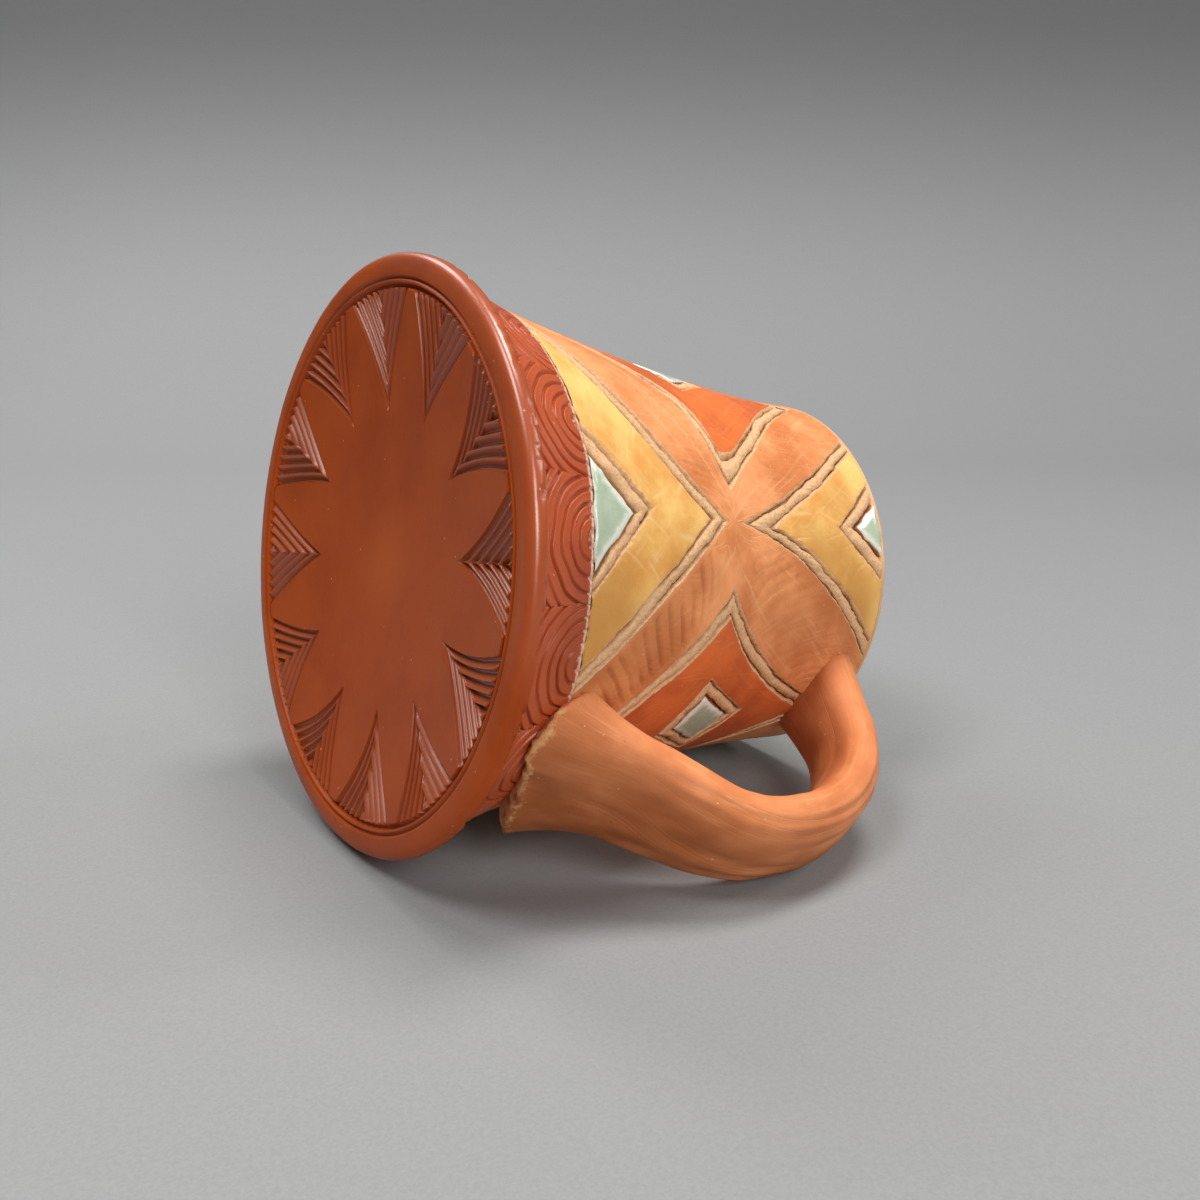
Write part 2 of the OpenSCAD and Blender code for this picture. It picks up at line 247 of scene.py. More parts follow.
# Meshes: a coat starts as a flat grid in (angle, z, lift) and is wrapped round the body
def startMesh(layers=("cut", "deep", "along", "across", "smokeAndShade", "polish")):
    bm = bmesh.new()
    for name in layers:
        bm.verts.layers.float.new(name)
    return bm


def weld(bm, reach=0.005):
    bmesh.ops.remove_doubles(bm, verts=bm.verts[:], dist=reach)


def faceOut(bm):
    bmesh.ops.recalc_face_normals(bm, faces=bm.faces[:])


def gridVerts(bm, columns, rows):  # makes a grid and gives each vertex with its column and row
    made = bmesh.ops.create_grid(bm, x_segments=columns - 1, y_segments=rows - 1, size=1)
    return [(v, round((v.co.x + 1) / 2 * (columns - 1)), round((v.co.y + 1) / 2 * (rows - 1)))
            for v in made["verts"]]


def gridFrom(bm, rows):  # a grid whose rows hold finished points
    made = gridVerts(bm, len(rows[0]), len(rows))
    for v, i, j in made:
        v.co = rows[j][i]
    return [v for v, i, j in made]


def row(points, lift, cut):
    return [(angle, z, lift, cut) for angle, z in points]


def edgeRows(draw, edge):  # rows along a line that is drawn at each gap of an edge's profile
    return [row(draw(gap), lift, cut) for gap, lift, cut in edge]


def loft(bm, rows):
    made = gridVerts(bm, len(rows[0]), len(rows))
    layers = bm.verts.layers.float
    along = spans(rows[len(rows) // 2])
    across = spans([line[len(line) // 2] for line in rows])
    for v, i, j in made:
        angle, z, lift, cut = rows[j][i]
        v.co = (angle, z, lift)
        v[layers["cut"]] = cut
        # the depth that the painted shade in grooves follows
        v[layers["deep"]] = smooth((-lift - body["deepStart"]) / body["deepRun"])
        v[layers["along"]] = along[i]
        v[layers["across"]] = across[j]


def cutPlane(bm, place, normal, clear=True):
    bmesh.ops.bisect_plane(bm, geom=bm.verts[:] + bm.edges[:] + bm.faces[:], dist=1e-4,
                           plane_co=place, plane_no=normal, clear_outer=clear)


def clipCoat(bm, trim):  # cuts the flat coat at the band and the lip, and eases the cut edge down
    low, high = bandTop + trim, lipStart - (trim - body["lipSpare"])
    cutPlane(bm, (0, low, 0), (0, -1, 0))
    cutPlane(bm, (0, high, 0), (0, 1, 0))
    cut = bm.verts.layers.float["cut"]
    for v in bm.verts:
        if min(abs(v.co.y - low), abs(v.co.y - high)) < 1e-3:
            v.co.z -= body["ease"]
            v[cut] = max(v[cut], body["clipBare"])


# Darker brown patches round each flower, partly clouds left by the fire and partly painted shade: degrees from a
# flower's middle, height, reach, strength
smokeAndShadeMarks = {
    "places": ((27, 68, 11, 0.3), (31, 75, 11, 0.5), (25, 19, 14, 0.9), (17, 20, 12, 0.8), (20, 89, 13, 0.9),
               (8, 81, 10, 0.75), (-14, 90, 9, 0.5), (28, 33, 14, 0.6), (13, 42, 9, 0.4), (46, 58, 9, 0.4)),
    "first": -55, "step": 120,
    "drift": 5, "driftLength": 7,
}


def smokeAndShadeAt(angle, z):
    step, arc = smokeAndShadeMarks["step"], arcOf(z)
    turn = (angle - smokeAndShadeMarks["first"] + step / 2) % step - step / 2
    drift = smokeAndShadeMarks["drift"] * noise.noise(Vector((angle * arc, z, 0)) / smokeAndShadeMarks["driftLength"])
    total = 0
    for place, high, reach, strength in smokeAndShadeMarks["places"]:
        away = math.hypot((turn - place) * arc, z - high) + drift
        total = max(total, strength * smooth(1.2 - away / reach))
    return total


def wrapCoat(bm, torn=1):
    bm.normal_update()
    bmesh.ops.reverse_faces(bm, faces=[f for f in bm.faces if f.normal.z < 0])  # the flat coat faces up
    cut, smokeAndShade = (bm.verts.layers.float[name] for name in ("cut", "smokeAndShade"))
    for v in bm.verts:
        angle, z, lift = v.co
        # brown patches, partly fire clouds and partly painted shade
        v[smokeAndShade] = smokeAndShadeAt(angle, z)
        if v[cut] > body["tornFrom"]:
            grain = Vector((angle * arcOf(z), z, lift))
            rough = noise.noise(grain / 1.4) + 0.8 * noise.noise(grain / 0.5)
            lift += torn * body["crumble"] * v[cut] * rough
            tear = (noise.noise_vector(grain / 3) + 0.6 * noise.noise_vector(grain)) * body["tear"] * torn
            angle, z = angle + tear.x / arcOf(z), z + tear.y
        v.co = onWall(angle, z, lift)
    weld(bm, body["weld"])


def joinMesh(bm, other):
    mesh = bpy.data.meshes.new("joined")
    other.to_mesh(mesh)
    other.free()
    bm.from_mesh(mesh)
    bpy.data.meshes.remove(mesh)


def addObject(name, data):
    made = bpy.data.objects.new(name, data)
    bpy.context.collection.objects.link(made)
    return made


def meshObject(bm, name, material):
    for f in bm.faces:
        f.smooth = True
    mesh = bpy.data.meshes.new(name)
    bm.to_mesh(mesh)
    bm.free()
    mesh.materials.append(material)
    return addObject(name, mesh)


def finishPiece(bm, name, material, node, thickness=0):
    bmesh.ops.scale(bm, vec=(mm, mm, mm), verts=bm.verts[:])
    piece = meshObject(bm, name, material)
    if thickness:
        shell = piece.modifiers.new("Thickness", "SOLIDIFY")
        shell.thickness = thickness * mm
        shell.offset = -1
    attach(piece, "root")
    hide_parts(node)
    pieces.append(piece)
    print("piece", name, len(piece.data.polygons), "faces")


def layCoat(bm, name, material, node, trim=0.15):
    clipCoat(bm, trim)
    wrapCoat(bm)
    finishPiece(bm, name, material, node, body["coat"])


# Material helpers: one maker of nodes for each tree
class NodeMaker:
    def __init__(self, tree):
        self.tree = tree

    def link(self, output, socket):
        self.tree.links.new(output, socket)

    def fill(self, made, values):  # a key such as i0 is the number of a socket, others are names
        for key, value in values.items():
            socket = made.inputs[int(key[1:]) if key[0] == "i" and key[1:].isdigit() else key]
            if isinstance(value, bpy.types.NodeSocket):
                self.link(value, socket)
            else:
                socket.default_value = (*value, 1) if socket.type == "RGBA" else value
        return made

    def add(self, kind, settings=None, **values):
        made = self.tree.nodes.new("ShaderNode" + kind)
        for key, value in (settings or {}).items():
            setattr(made, key, value)
        return self.fill(made, values)

    def group(self, tree, **values):
        return self.fill(self.add("Group", {"node_tree": tree}), values).outputs

    def math(self, operation, a, b=0.0, c=0.0):
        return self.add("Math", {"operation": operation}, i0=a, i1=b, i2=c).outputs[0]

    def times(self, a, b):
        return self.math("MULTIPLY", a, b)

    def fit(self, a, scale, shift):  # a value scaled, then shifted
        return self.math("MULTIPLY_ADD", a, scale, shift)

    def inverse(self, a):
        return self.math("SUBTRACT", 1.0, a)

    def vector(self, operation, **values):
        return self.add("VectorMath", {"operation": operation}, **values).outputs

    def mix(self, factor, a, b):
        return self.add("Mix", {"data_type": "RGBA"}, i0=factor, i6=a, i7=b).outputs[2]

    def ramp(self, value, low, high):  # a soft step from 0 at low to 1 at high
        made = self.add("MapRange", {"interpolation_type": "SMOOTHSTEP"}, i0=value, i1=low, i2=high)
        return made.outputs[0]

    def noise(self, vector, scale, detail=3.0, roughness=0.55):
        made = self.add("TexNoise", Vector=vector, Scale=scale, Detail=detail, Roughness=roughness)
        return made.outputs["Fac"]

    def attribute(self, name):
        return self.add("Attribute", {"attribute_name": name}).outputs["Fac"]

    def place(self):
        return self.add("TexCoord").outputs["Object"]

    def bump(self, height, strength, depth, shader):
        made = self.add("Bump", Strength=strength, Distance=depth, Height=height)
        self.link(made.outputs[0], shader.inputs["Normal"])


def newMaterial(name):
    material = bpy.data.materials.new(name)
    material.use_nodes = True
    return material, NodeMaker(material.node_tree), material.node_tree.nodes["Principled BSDF"]


def newGroup(name, inputs, outputs):
    tree = bpy.data.node_groups.new(name, "ShaderNodeTree")
    for way, sockets in (("INPUT", inputs), ("OUTPUT", outputs)):
        for key, kind in sockets.items():
            tree.interface.new_socket(key, in_out=way, socket_type="NodeSocket" + kind)
    return NodeMaker(tree), tree.nodes.new("NodeGroupInput").outputs, tree.nodes.new("NodeGroupOutput").inputs


# Textures of the clay: scales are per metre, ramps are (low, high)
clayLook = {
    "grainScales": (2600, 420), "grainShares": (0.6, 0.4),
    "specks": (("Pale", 700, 0.16, 0.55, (0.9, 0.6, 0.32)),
               ("Dark", 520, 0.13, 0.6, (0.12, 0.04, 0.015))),  # scale, size, strength, colour
    "cloudScale": 65, "cloud": (0.34, 0.62),
    "strokeShares": (0.05, 0.9), "strokeBend": 28.0, "streak": (0.5, 0.78),
    "hatchScale": 45, "hatchSway": 5.0, "hatchWidth": 0.34, "hatchHeld": (0.46, 0.72),
    "hatchStep": 3.7, "hatchRun": 0.13,
    "raggedScale": 900, "ragged": 0.7, "bare": (0.3, 0.62),
    "dirtScale": 1500, "dirt": (0.48, 0.24, 0.10), "dirtRamp": (0.4, 0.75), "dirtShare": 0.5,
    "sootAndShadeShare": 0.8,
    # painted shade: the colour that grooves are darkened towards by their depth
    "groove": (0.22, 0.085, 0.03),
    "clay": (0.82, 0.51, 0.28),
    "grainRough": 0.22, "bareRough": 0.3,
    "grainHeight": 0.5, "bareHeight": 1.6, "bump": 0.55, "bumpDepth": 0.00025,
}


def makeGrainGroup():  # fine clay grain, with pale and dark specks of grog
    n, given, result = newGroup("clayGrain", {"Specks": "Float"},
                                {"Grain": "Float", "Pale": "Float", "Dark": "Float"})
    place = n.place()
    fine, broad = (n.noise(place, scale, detail) for scale, detail in zip(clayLook["grainScales"], (4, 3)))
    shares = clayLook["grainShares"]
    n.link(n.fit(fine, shares[0], n.times(broad, shares[1])), result["Grain"])
    for name, scale, size, _, _ in clayLook["specks"]:
        cells = n.add("TexVoronoi", Vector=place, Scale=scale, Randomness=1.0)
        dot = n.inverse(n.ramp(cells.outputs["Distance"], size * 0.5, size))
        chance = n.add("SeparateColor", Color=cells.outputs["Color"]).outputs["Red"]
        n.link(n.times(dot, n.math("LESS_THAN", chance, given["Specks"])), result[name])
    return n.tree


def makeWashGroup():  # slip brushed on unevenly: cloudy patches, and streaks along the strokes
    n, given, result = newGroup("slipWash", {"Along": "Float", "Across": "Float"},
                                {"Cloud": "Float", "Streak": "Float"})
    place = n.place()
    n.link(n.noise(place, clayLook["cloudScale"], 4, 0.6), result["Cloud"])
    along, across = clayLook["strokeShares"]
    stroke = n.add("CombineXYZ", X=n.times(given["Along"], along),
                   Y=n.times(given["Across"], across)).outputs[0]
    bend = n.vector("SCALE", i0=place, Scale=clayLook["strokeBend"])[0]
    n.link(n.noise(n.vector("ADD", i0=stroke, i1=bend)[0], 1.0, 3, 0.6), result["Streak"])
    return n.tree


def makeHatchGroup():  # fine scratches of the brush, slanting across the strokes' run
    n, given, result = newGroup("brushHatch", dict.fromkeys(("Along", "Across", "Pitch", "Slant"), "Float"),
                                {"Line": "Float"})
    sway = n.noise(n.place(), clayLook["hatchScale"], 1)
    lean = n.fit(given["Across"], given["Slant"], given["Along"])
    phase = n.fit(sway, clayLook["hatchSway"], n.math("DIVIDE", lean, given["Pitch"]))
    line = n.inverse(n.ramp(n.math("PINGPONG", phase, 0.5), 0.0, clayLook["hatchWidth"]))
    stroke = n.add("CombineXYZ", X=n.times(n.math("ROUND", phase), clayLook["hatchStep"]),
                   Y=n.times(given["Across"], clayLook["hatchRun"])).outputs[0]
    n.link(n.times(line, n.ramp(n.noise(stroke, 1.0, 1), *clayLook["hatchHeld"])), result["Line"])
    return n.tree


def makeBareGroup():  # where the tool has gone through the slip, the raw clay shows
    n, given, result = newGroup("bareClay", {"Cut": "Float", "Slip": "Color", "Clay": "Color"},
                                {"Color": "Color", "Bare": "Float"})
    ragged = clayLook["ragged"]
    stray = n.fit(n.noise(n.place(), clayLook["raggedScale"], 3, 0.7), ragged, -ragged / 2)
    bare = n.ramp(n.math("ADD", given["Cut"], stray), *clayLook["bare"])
    shade = n.ramp(n.noise(n.place(), clayLook["dirtScale"], 2), *clayLook["dirtRamp"])
    clay = n.mix(clayLook["dirtShare"], given["Clay"], n.mix(shade, given["Clay"], clayLook["dirt"]))
    n.link(n.mix(bare, given["Slip"], clay), result["Color"])
    n.link(bare, result["Bare"])
    return n.tree


clayGrain = makeGrainGroup()
slipWash = makeWashGroup()
brushHatch = makeHatchGroup()
bareClay = makeBareGroup()

# The base is rubbed bright in the middle, and burnished on its strokes and on one side of its edge
burnish = {
    "squash": (1, 0.7, 0), "rubbed": (0.012, 0.028), "ragged": 0.03, "share": 0.6,
    "edge": (0.0525, 0.0545), "side": (0.17, -0.985, 0), "sideRamp": (0.026, 0.046),
    "strokes": 0.55,
    "roughness": 0.32, "ior": 1.75,
}


def burnishBase(n, shader, streak):  # sets the coat, and gives the mask of the rubbed middle
    squashed = n.vector("MULTIPLY", i0=n.place(), i1=burnish["squash"])[0]
    middle = n.fit(streak, burnish["ragged"], n.vector("LENGTH", i0=squashed)["Value"])
    rubbed = n.inverse(n.ramp(middle, *burnish["rubbed"]))
    level = n.vector("MULTIPLY", i0=n.place(), i1=(1, 1, 0))[0]
    reach = n.ramp(n.vector("LENGTH", i0=level)["Value"], *burnish["edge"])
    facing = n.vector("DOT_PRODUCT", i0=level, i1=burnish["side"])["Value"]
    shine = n.times(reach, n.ramp(facing, *burnish["sideRamp"]))
    shine = n.math("MAXIMUM", shine, n.times(n.attribute("polish"), burnish["strokes"]))
    n.link(shine, shader.inputs["Coat Weight"])
    shader.inputs["Coat Roughness"].default_value = burnish["roughness"]
    shader.inputs["Coat IOR"].default_value = burnish["ior"]
    return rubbed


# Slips: gloss is the specular level, streak and hatch the strength of brush marks, pitch and slant
# the lie of the hatching, shade how dark the grooves are painted: painted shade
plainSlip = {"rough": 0.5, "streak": 0.35, "gloss": 0.1, "hatch": 0.0, "specks": 0.05, "pitch": 1.4,
             "slant": 0.8, "shade": 0.35, "edge": clayLook["clay"]}
slips = {
    "petalSlip": {"color": (0.90, 0.365, 0.148), "dark": (0.66, 0.215, 0.072), "pale": (0.95, 0.58, 0.31),
                  "rough": 0.55, "hatch": 0.24},
    "ochreSlip": {"color": (0.94, 0.59, 0.19), "dark": (0.78, 0.36, 0.09), "pale": (0.95, 0.70, 0.33),
                  "rough": 0.55, "hatch": 0.4, "pitch": 2.3, "slant": 0.5, "shade": 0.3},
    "brickSlip": {"color": (0.76, 0.18, 0.045), "dark": (0.56, 0.12, 0.036), "pale": (0.84, 0.32, 0.13),
                  "gloss": 0.12, "hatch": 0.22, "pitch": 1.6},
    "baseSlip": {"color": (0.45, 0.072, 0.006), "dark": (0.39, 0.058, 0.005), "pale": (0.50, 0.095, 0.012),
                 "wornAndSheen": (0.60, 0.12, 0.018), "rough": 0.36, "streak": 0.12, "gloss": 0.16, "shade": 0.3},
    "bandSlip": {"color": (0.54, 0.10, 0.030), "dark": (0.46, 0.078, 0.022), "pale": (0.62, 0.16, 0.06),
                 # the band's pale pink edge colour is partly worn bare clay, partly a painted highlight
                 "edge": (0.86, 0.52, 0.40), "rough": 0.34, "streak": 0.15, "gloss": 0.45, "shade": 0.4},
    "handleSlip": {"color": (0.81, 0.30, 0.125), "dark": (0.66, 0.215, 0.078), "pale": (0.87, 0.40, 0.19),
                   # soot: the colour of the handle's painted shade
                   "sootAndShade": (0.40, 0.115, 0.036), "edge": (0.82, 0.42, 0.18), "streak": 0.6, "gloss": 0.14,
                   "hatch": 0.3, "pitch": 6.0, "slant": 12.0, "shade": 0.7},
    "buffClay": {"color": clayLook["clay"], "dark": (0.70, 0.40, 0.20), "pale": (0.88, 0.61, 0.37),
                 "rough": 0.72, "streak": 0.2, "specks": 0.09, "shade": 0.4},
}


def slipMaterial(name):
    slip = {**plainSlip, **slips[name]}
    material, n, shader = newMaterial(name)
    along, across = n.attribute("along"), n.attribute("across")
    grain = n.group(clayGrain, Specks=slip["specks"])
    wash = n.group(slipWash, Along=along, Across=across)
    brush = n.group(brushHatch, Along=along, Across=across, Pitch=slip["pitch"], Slant=slip["slant"])["Line"]
    tone = n.mix(n.ramp(wash["Cloud"], *clayLook["cloud"]), slip["dark"], slip["color"])
    streak = n.ramp(wash["Streak"], *clayLook["streak"])
    # smoke and painted shade darken the slip towards this colour
    sootAndShade = slip.get("sootAndShade") or tuple(c * clayLook["sootAndShadeShare"] for c in slip["dark"])
    layers = [(streak, slip["streak"], slip["pale"]), (brush, slip["hatch"], slip["pale"]),
              (n.attribute("smokeAndShade"), 1.0, sootAndShade)]
    if "wornAndSheen" in slip:
        layers.append((burnishBase(n, shader, wash["Streak"]), burnish["share"], slip["wornAndSheen"]))
    layers += [(grain[name], strength, color) for name, _, _, strength, color in clayLook["specks"]]
    for mask, strength, color in layers:
        tone = n.mix(n.times(mask, strength), tone, color)
    bare = n.group(bareClay, Cut=n.attribute("cut"), Slip=tone, Clay=slip["edge"])
    # grooves are painted darker the deeper they are: painted shade
    shaded = n.times(n.attribute("deep"), slip["shade"])
    n.link(n.mix(shaded, bare["Color"], clayLook["groove"]), shader.inputs["Base Color"])
    polish = n.fit(grain["Grain"], clayLook["grainRough"], slip["rough"] - clayLook["grainRough"] / 2)
    n.link(n.fit(bare["Bare"], clayLook["bareRough"], polish), shader.inputs["Roughness"])
    shader.inputs["Specular IOR Level"].default_value = slip["gloss"]
    height = n.fit(grain["Grain"], clayLook["grainHeight"], n.times(brush, -slip["hatch"]))
    height = n.fit(n.times(grain["Grain"], bare["Bare"]), clayLook["bareHeight"], height)
    n.bump(height, clayLook["bump"], clayLook["bumpDepth"], shader)
    return material


# Celadon pooled in the middle, breaking pale at the edges, brown where it ends
glazeLook = {
    "pool": ((0.33, 0.44, 0.31), (0.60, 0.68, 0.52)), "poolScale": 260,
    "pale": (0.84, 0.86, 0.75), "paleRamp": (0.1, 0.5),
    "brown": (0.36, 0.13, 0.05), "brownRamp": (0.72, 0.95),
    "ragged": 0.5, "raggedScale": 700,
    "crackle": (0.2, 0.22, 0.14), "crackleScale": 750.0, "crackleWidth": 0.03, "crackleShare": 0.18,
    "rough": 0.13, "edgeRough": 0.4, "roughRamp": (0.6, 0.95),
    "bump": 0.25, "bumpDepth": 0.0003, "bumpScale": 330,
}


def tileMaterial(name):
    material, n, shader = newMaterial(name)
    place, ragged = n.place(), glazeLook["ragged"]
    stray = n.fit(n.noise(place, glazeLook["raggedScale"], 3), ragged, -ragged / 2)
    level = n.math("ADD", n.attribute("cut"), stray)
    tone = n.mix(n.noise(place, glazeLook["poolScale"], 3), *glazeLook["pool"])
    for look in ("pale", "brown"):
        tone = n.mix(n.ramp(level, *glazeLook[look + "Ramp"]), tone, glazeLook[look])
    cells = n.add("TexVoronoi", {"feature": "DISTANCE_TO_EDGE"}, Vector=place,
                  Scale=glazeLook["crackleScale"])
    line = n.inverse(n.ramp(cells.outputs["Distance"], 0.0, glazeLook["crackleWidth"]))
    tone = n.mix(n.times(line, glazeLook["crackleShare"]), tone, glazeLook["crackle"])
    n.link(tone, shader.inputs["Base Color"])
    rough = n.fit(n.ramp(level, *glazeLook["roughRamp"]), glazeLook["edgeRough"], glazeLook["rough"])
    n.link(rough, shader.inputs["Roughness"])
    n.bump(n.noise(place, glazeLook["bumpScale"], 2), glazeLook["bump"], glazeLook["bumpDepth"], shader)
    return material


materials = {name: slipMaterial(name) for name in slips}
materials.update({name: tileMaterial(name) for name in ("tileGlaze", "linerGlaze")})
print("materials made")

# The carved lattice: three flowers of four petals, drawn by hand, so each border has its own reach and bow
lattice = {
    "turns": (-55, 65, 185),
    "middle": 55,
    "tipGap": 2.2,
    "cornerRise": 42,      # from a flower's middle to a red diamond's corners
    "halfTurn": 60,
    "border": 3.3,
    "past": 2,             # how far lines run past the band and the lip before they are clipped
    "lineSteps": 60,
    "columns": 96,
    "drawnColumns": 168,
    "petalRows": 22,
    "fieldRows": 14,
    "petalLift": 0.05, "fieldLift": 0.04,
    "heartRun": 0.4,       # share of a petal that is drawn in to the flower's middle
    "degreeWidth": 0.8,    # about the width of a degree, in millimetres
    # a plain flower: reach and bow of its upper and lower borders, and how far they stray
    "plain": {1: (39, 0.42), -1: (35.4, 0.2)}, "redBow": 0.4, "redTip": 11.4,
    "reachSpread": 1.5, "bowSpread": 0.12, "tipSpread": 2,
}
# Profiles across a border: gap, lift, how bare the clay is
petalEdge = ((0.62, -1.15, 1), (0.35, -0.6, 1), (0.05, -0.1, 0.75), (-0.3, 0.02, 0.2), (-0.7, 0.03, 0))
fieldEdge = tuple((lattice["border"] - gap, lift, cut) for gap, lift, cut in petalEdge)
ridgeEdge = ((0.55, -1.2, 1), (0.67, -0.6, 1), (0.82, -0.22, 1), (1.65, -0.16, 1), (2.48, -0.22, 1),
             (2.63, -0.6, 1), (2.75, -1.2, 1))


def borderSet(reach, bow, redBow, redPower):
    return {"reach": reach, "bow": bow, "redBow": redBow, "redPower": redPower}


def makeFlower(turn, corners, redTips):
    return {"turn": turn, "corners": corners, "redTips": redTips}


quarters = [(side, rise) for side in (-1, 1) for rise in (-1, 1)]


def strayed(value, spread):
    return value + random.uniform(-spread, spread)


def plainFlower(turn):
    corners = {}
    for side, rise in quarters:
        reach, bow = lattice["plain"][rise]
        corners[side, rise] = borderSet(strayed(reach, lattice["reachSpread"]),
                                        strayed(bow, lattice["bowSpread"]),
                                        strayed(lattice["redBow"], lattice["bowSpread"]), 2)
    redTips = {side: strayed(lattice["redTip"], lattice["tipSpread"]) for side in (-1, 1)}
    return makeFlower(turn, corners, redTips)


drawnFlower = makeFlower(lattice["turns"][0], {
    (1, 1): borderSet(39.5, 0.8, 0.55, 2),
    (-1, 1): borderSet(38, 0.38, 0.1, 2),
    (1, -1): borderSet(38, -0.1, 0.45, 2),
    (-1, -1): borderSet(53, 0.33, 0.75, 4),
}, {1: 16.5, -1: 8.5})
flowers = [drawnFlower] + [plainFlower(turn) for turn in lattice["turns"][1:]]


def ochreBorder(flower, side, rise, whole):  # from the point near the middle, out to the band or the lip
    shape = flower["corners"][side, rise]
    reach, bow = shape["reach"], shape["bow"]
    run = abs((lipStart if rise > 0 else bandTop) - lattice["middle"]) - lattice["tipGap"]
    slope = reach * (1 + bow)
    last = 1 + (lattice["halfTurn"] - reach) / slope if whole else 1 + lattice["past"] / run
    points = []
    for k in range(lattice["lineSteps"] + 1):
        t = last * k / lattice["lineSteps"]
        angle = reach * bowed(t, bow, 2) if t < 1 else reach + slope * (t - 1)
        points.append((flower["turn"] + side * angle,
                       lattice["middle"] + rise * (lattice["tipGap"] + run * t)))
    return points


def redBorder(flower, side, rise):  # from a red diamond's side corner to its top or bottom corner
    shape = flower["corners"][side, rise]
    tip = flower["redTips"][side]
    points = []
    for k in range(lattice["lineSteps"] + 1):
        t = k / lattice["lineSteps"]
        points.append((flower["turn"] + side * (tip + (lattice["halfTurn"] - tip) * t), lattice["middle"]
                       + rise * lattice["cornerRise"] * bowed(t, shape["redBow"], shape["redPower"])))
    return points


def lineCount(flower):
    return lattice["drawnColumns" if flower is drawnFlower else "columns"]


def ochreLine(flower, side, rise, gap, whole=True):
    def runOut(hand):
        line = offsetLine(ochreBorder(flower, hand, rise, whole), -hand * rise * gap)
        return meetLine(line, 0, flower["turn"])
    line, other = runOut(side), runOut(-side)
    tip = (flower["turn"], (line[0][1] + other[0][1]) / 2)
    return resample(pullStart(line, tip), lineCount(flower))


def redRun(flower, side, rise, gap):
    line = offsetLine(redBorder(flower, side, rise), side * rise * gap)
    line = meetLine(line, 1, lattice["middle"])
    return endLine(line, 0, flower["turn"] + side * lattice["halfTurn"])


def redLine(flower, side, rise, gap):
    line, twin = redRun(flower, side, rise, gap), redRun(flower, side, -rise, gap)
    facing = flowers[(flowers.index(flower) + side) % len(flowers)]
    across = redRun(facing, -side, rise, gap)
    tip = ((line[0][0] + twin[0][0]) / 2, lattice["middle"])
    corner = (line[-1][0], (line[-1][1] + across[-1][1]) / 2)
    line = pullStart(pullStart(line, tip)[::-1], corner)[::-1]
    return resample(line, lineCount(flower))


# Leaf veins drawn with a fine point: pitch, slant and depth for each petal
veins = {
    "petals": {(1, -1): (3.1, -0.45, 0.85), (-1, -1): (3.4, 1.8, 0.45), (1, 1): (3.2, 0.7, 0.2),
               (-1, 1): (3.0, 0.5, 0.2)},
    "run": 70,             # length that they are spaced along
    "bend": 1.6, "bendLength": 12,
    "width": 0.21, "widthSpread": 0.1,
    "held": 0.72, "heldSpread": 1.4,  # how steadily the point is pressed
    "edgeFade": 7, "rootStart": 0.06, "rootFade": 8,
}


def veinDepth(along, across, petal, seed):
    pitch, slant, depth = veins["petals"][petal]
    bend = veins["bend"] * ripple(along / veins["bendLength"], across / veins["bendLength"], seed)
    phase = (along + slant * across + bend) / pitch
    stroke = math.floor(phase)
    width = veins["width"] + veins["widthSpread"] * ripple(stroke * 3.7, across / 7, seed)
    held = smooth(veins["held"] + veins["heldSpread"] * ripple(stroke * 1.9, across / 9, seed + 4))
    return depth * held * max(0, 1 - abs(phase - stroke - 0.5) / width)


def addPetal(bm, flower, side, rise):
    near = edgeRows(lambda gap: ochreLine(flower, side, rise, gap), petalEdge)
    far = edgeRows(lambda gap: redLine(flower, side, rise, gap), petalEdge)
    first, last = [[point[:2] for point in rows[-1]] for rows in (near, far)]
    heart = (flower["turn"], lattice["middle"])
    seed = flower["turn"] + side * 3 + rise
    inner = []
    for j in range(1, lattice["petalRows"] + 1):
        q = j / (lattice["petalRows"] + 1)
        start = lerp(first[0], heart, q * 2) if q < 0.5 else lerp(heart, last[0], q * 2 - 1)
        plain = lerp(first[0], last[0], q)
        line = []
        for i in range(lineCount(flower)):
            s = i / (lineCount(flower) - 1)
            hold = max(0, 1 - s / lattice["heartRun"]) ** 2
            angle, z = lerp(first[i], last[i], q)
            angle += (start[0] - plain[0]) * hold
            z += (start[1] - plain[1]) * hold
            wide = math.dist(first[i], last[i]) * lattice["degreeWidth"]
            fade = smooth(min(q, 1 - q) * veins["edgeFade"])
            fade *= smooth((s - veins["rootStart"]) * veins["rootFade"])
            vein = veinDepth(s * veins["run"], q * wide, (side, rise), seed) * fade
            line.append((angle, z, lattice["petalLift"] * math.sin(math.pi * q) - vein, 0))
        inner.append(line)
    loft(bm, near + inner + far[::-1])


petals = startMesh()
for flower in flowers:
    for side, rise in quarters:
        addPetal(petals, flower, side, rise)
layCoat(petals, "petals", materials["petalSlip"], "petal_lattice")

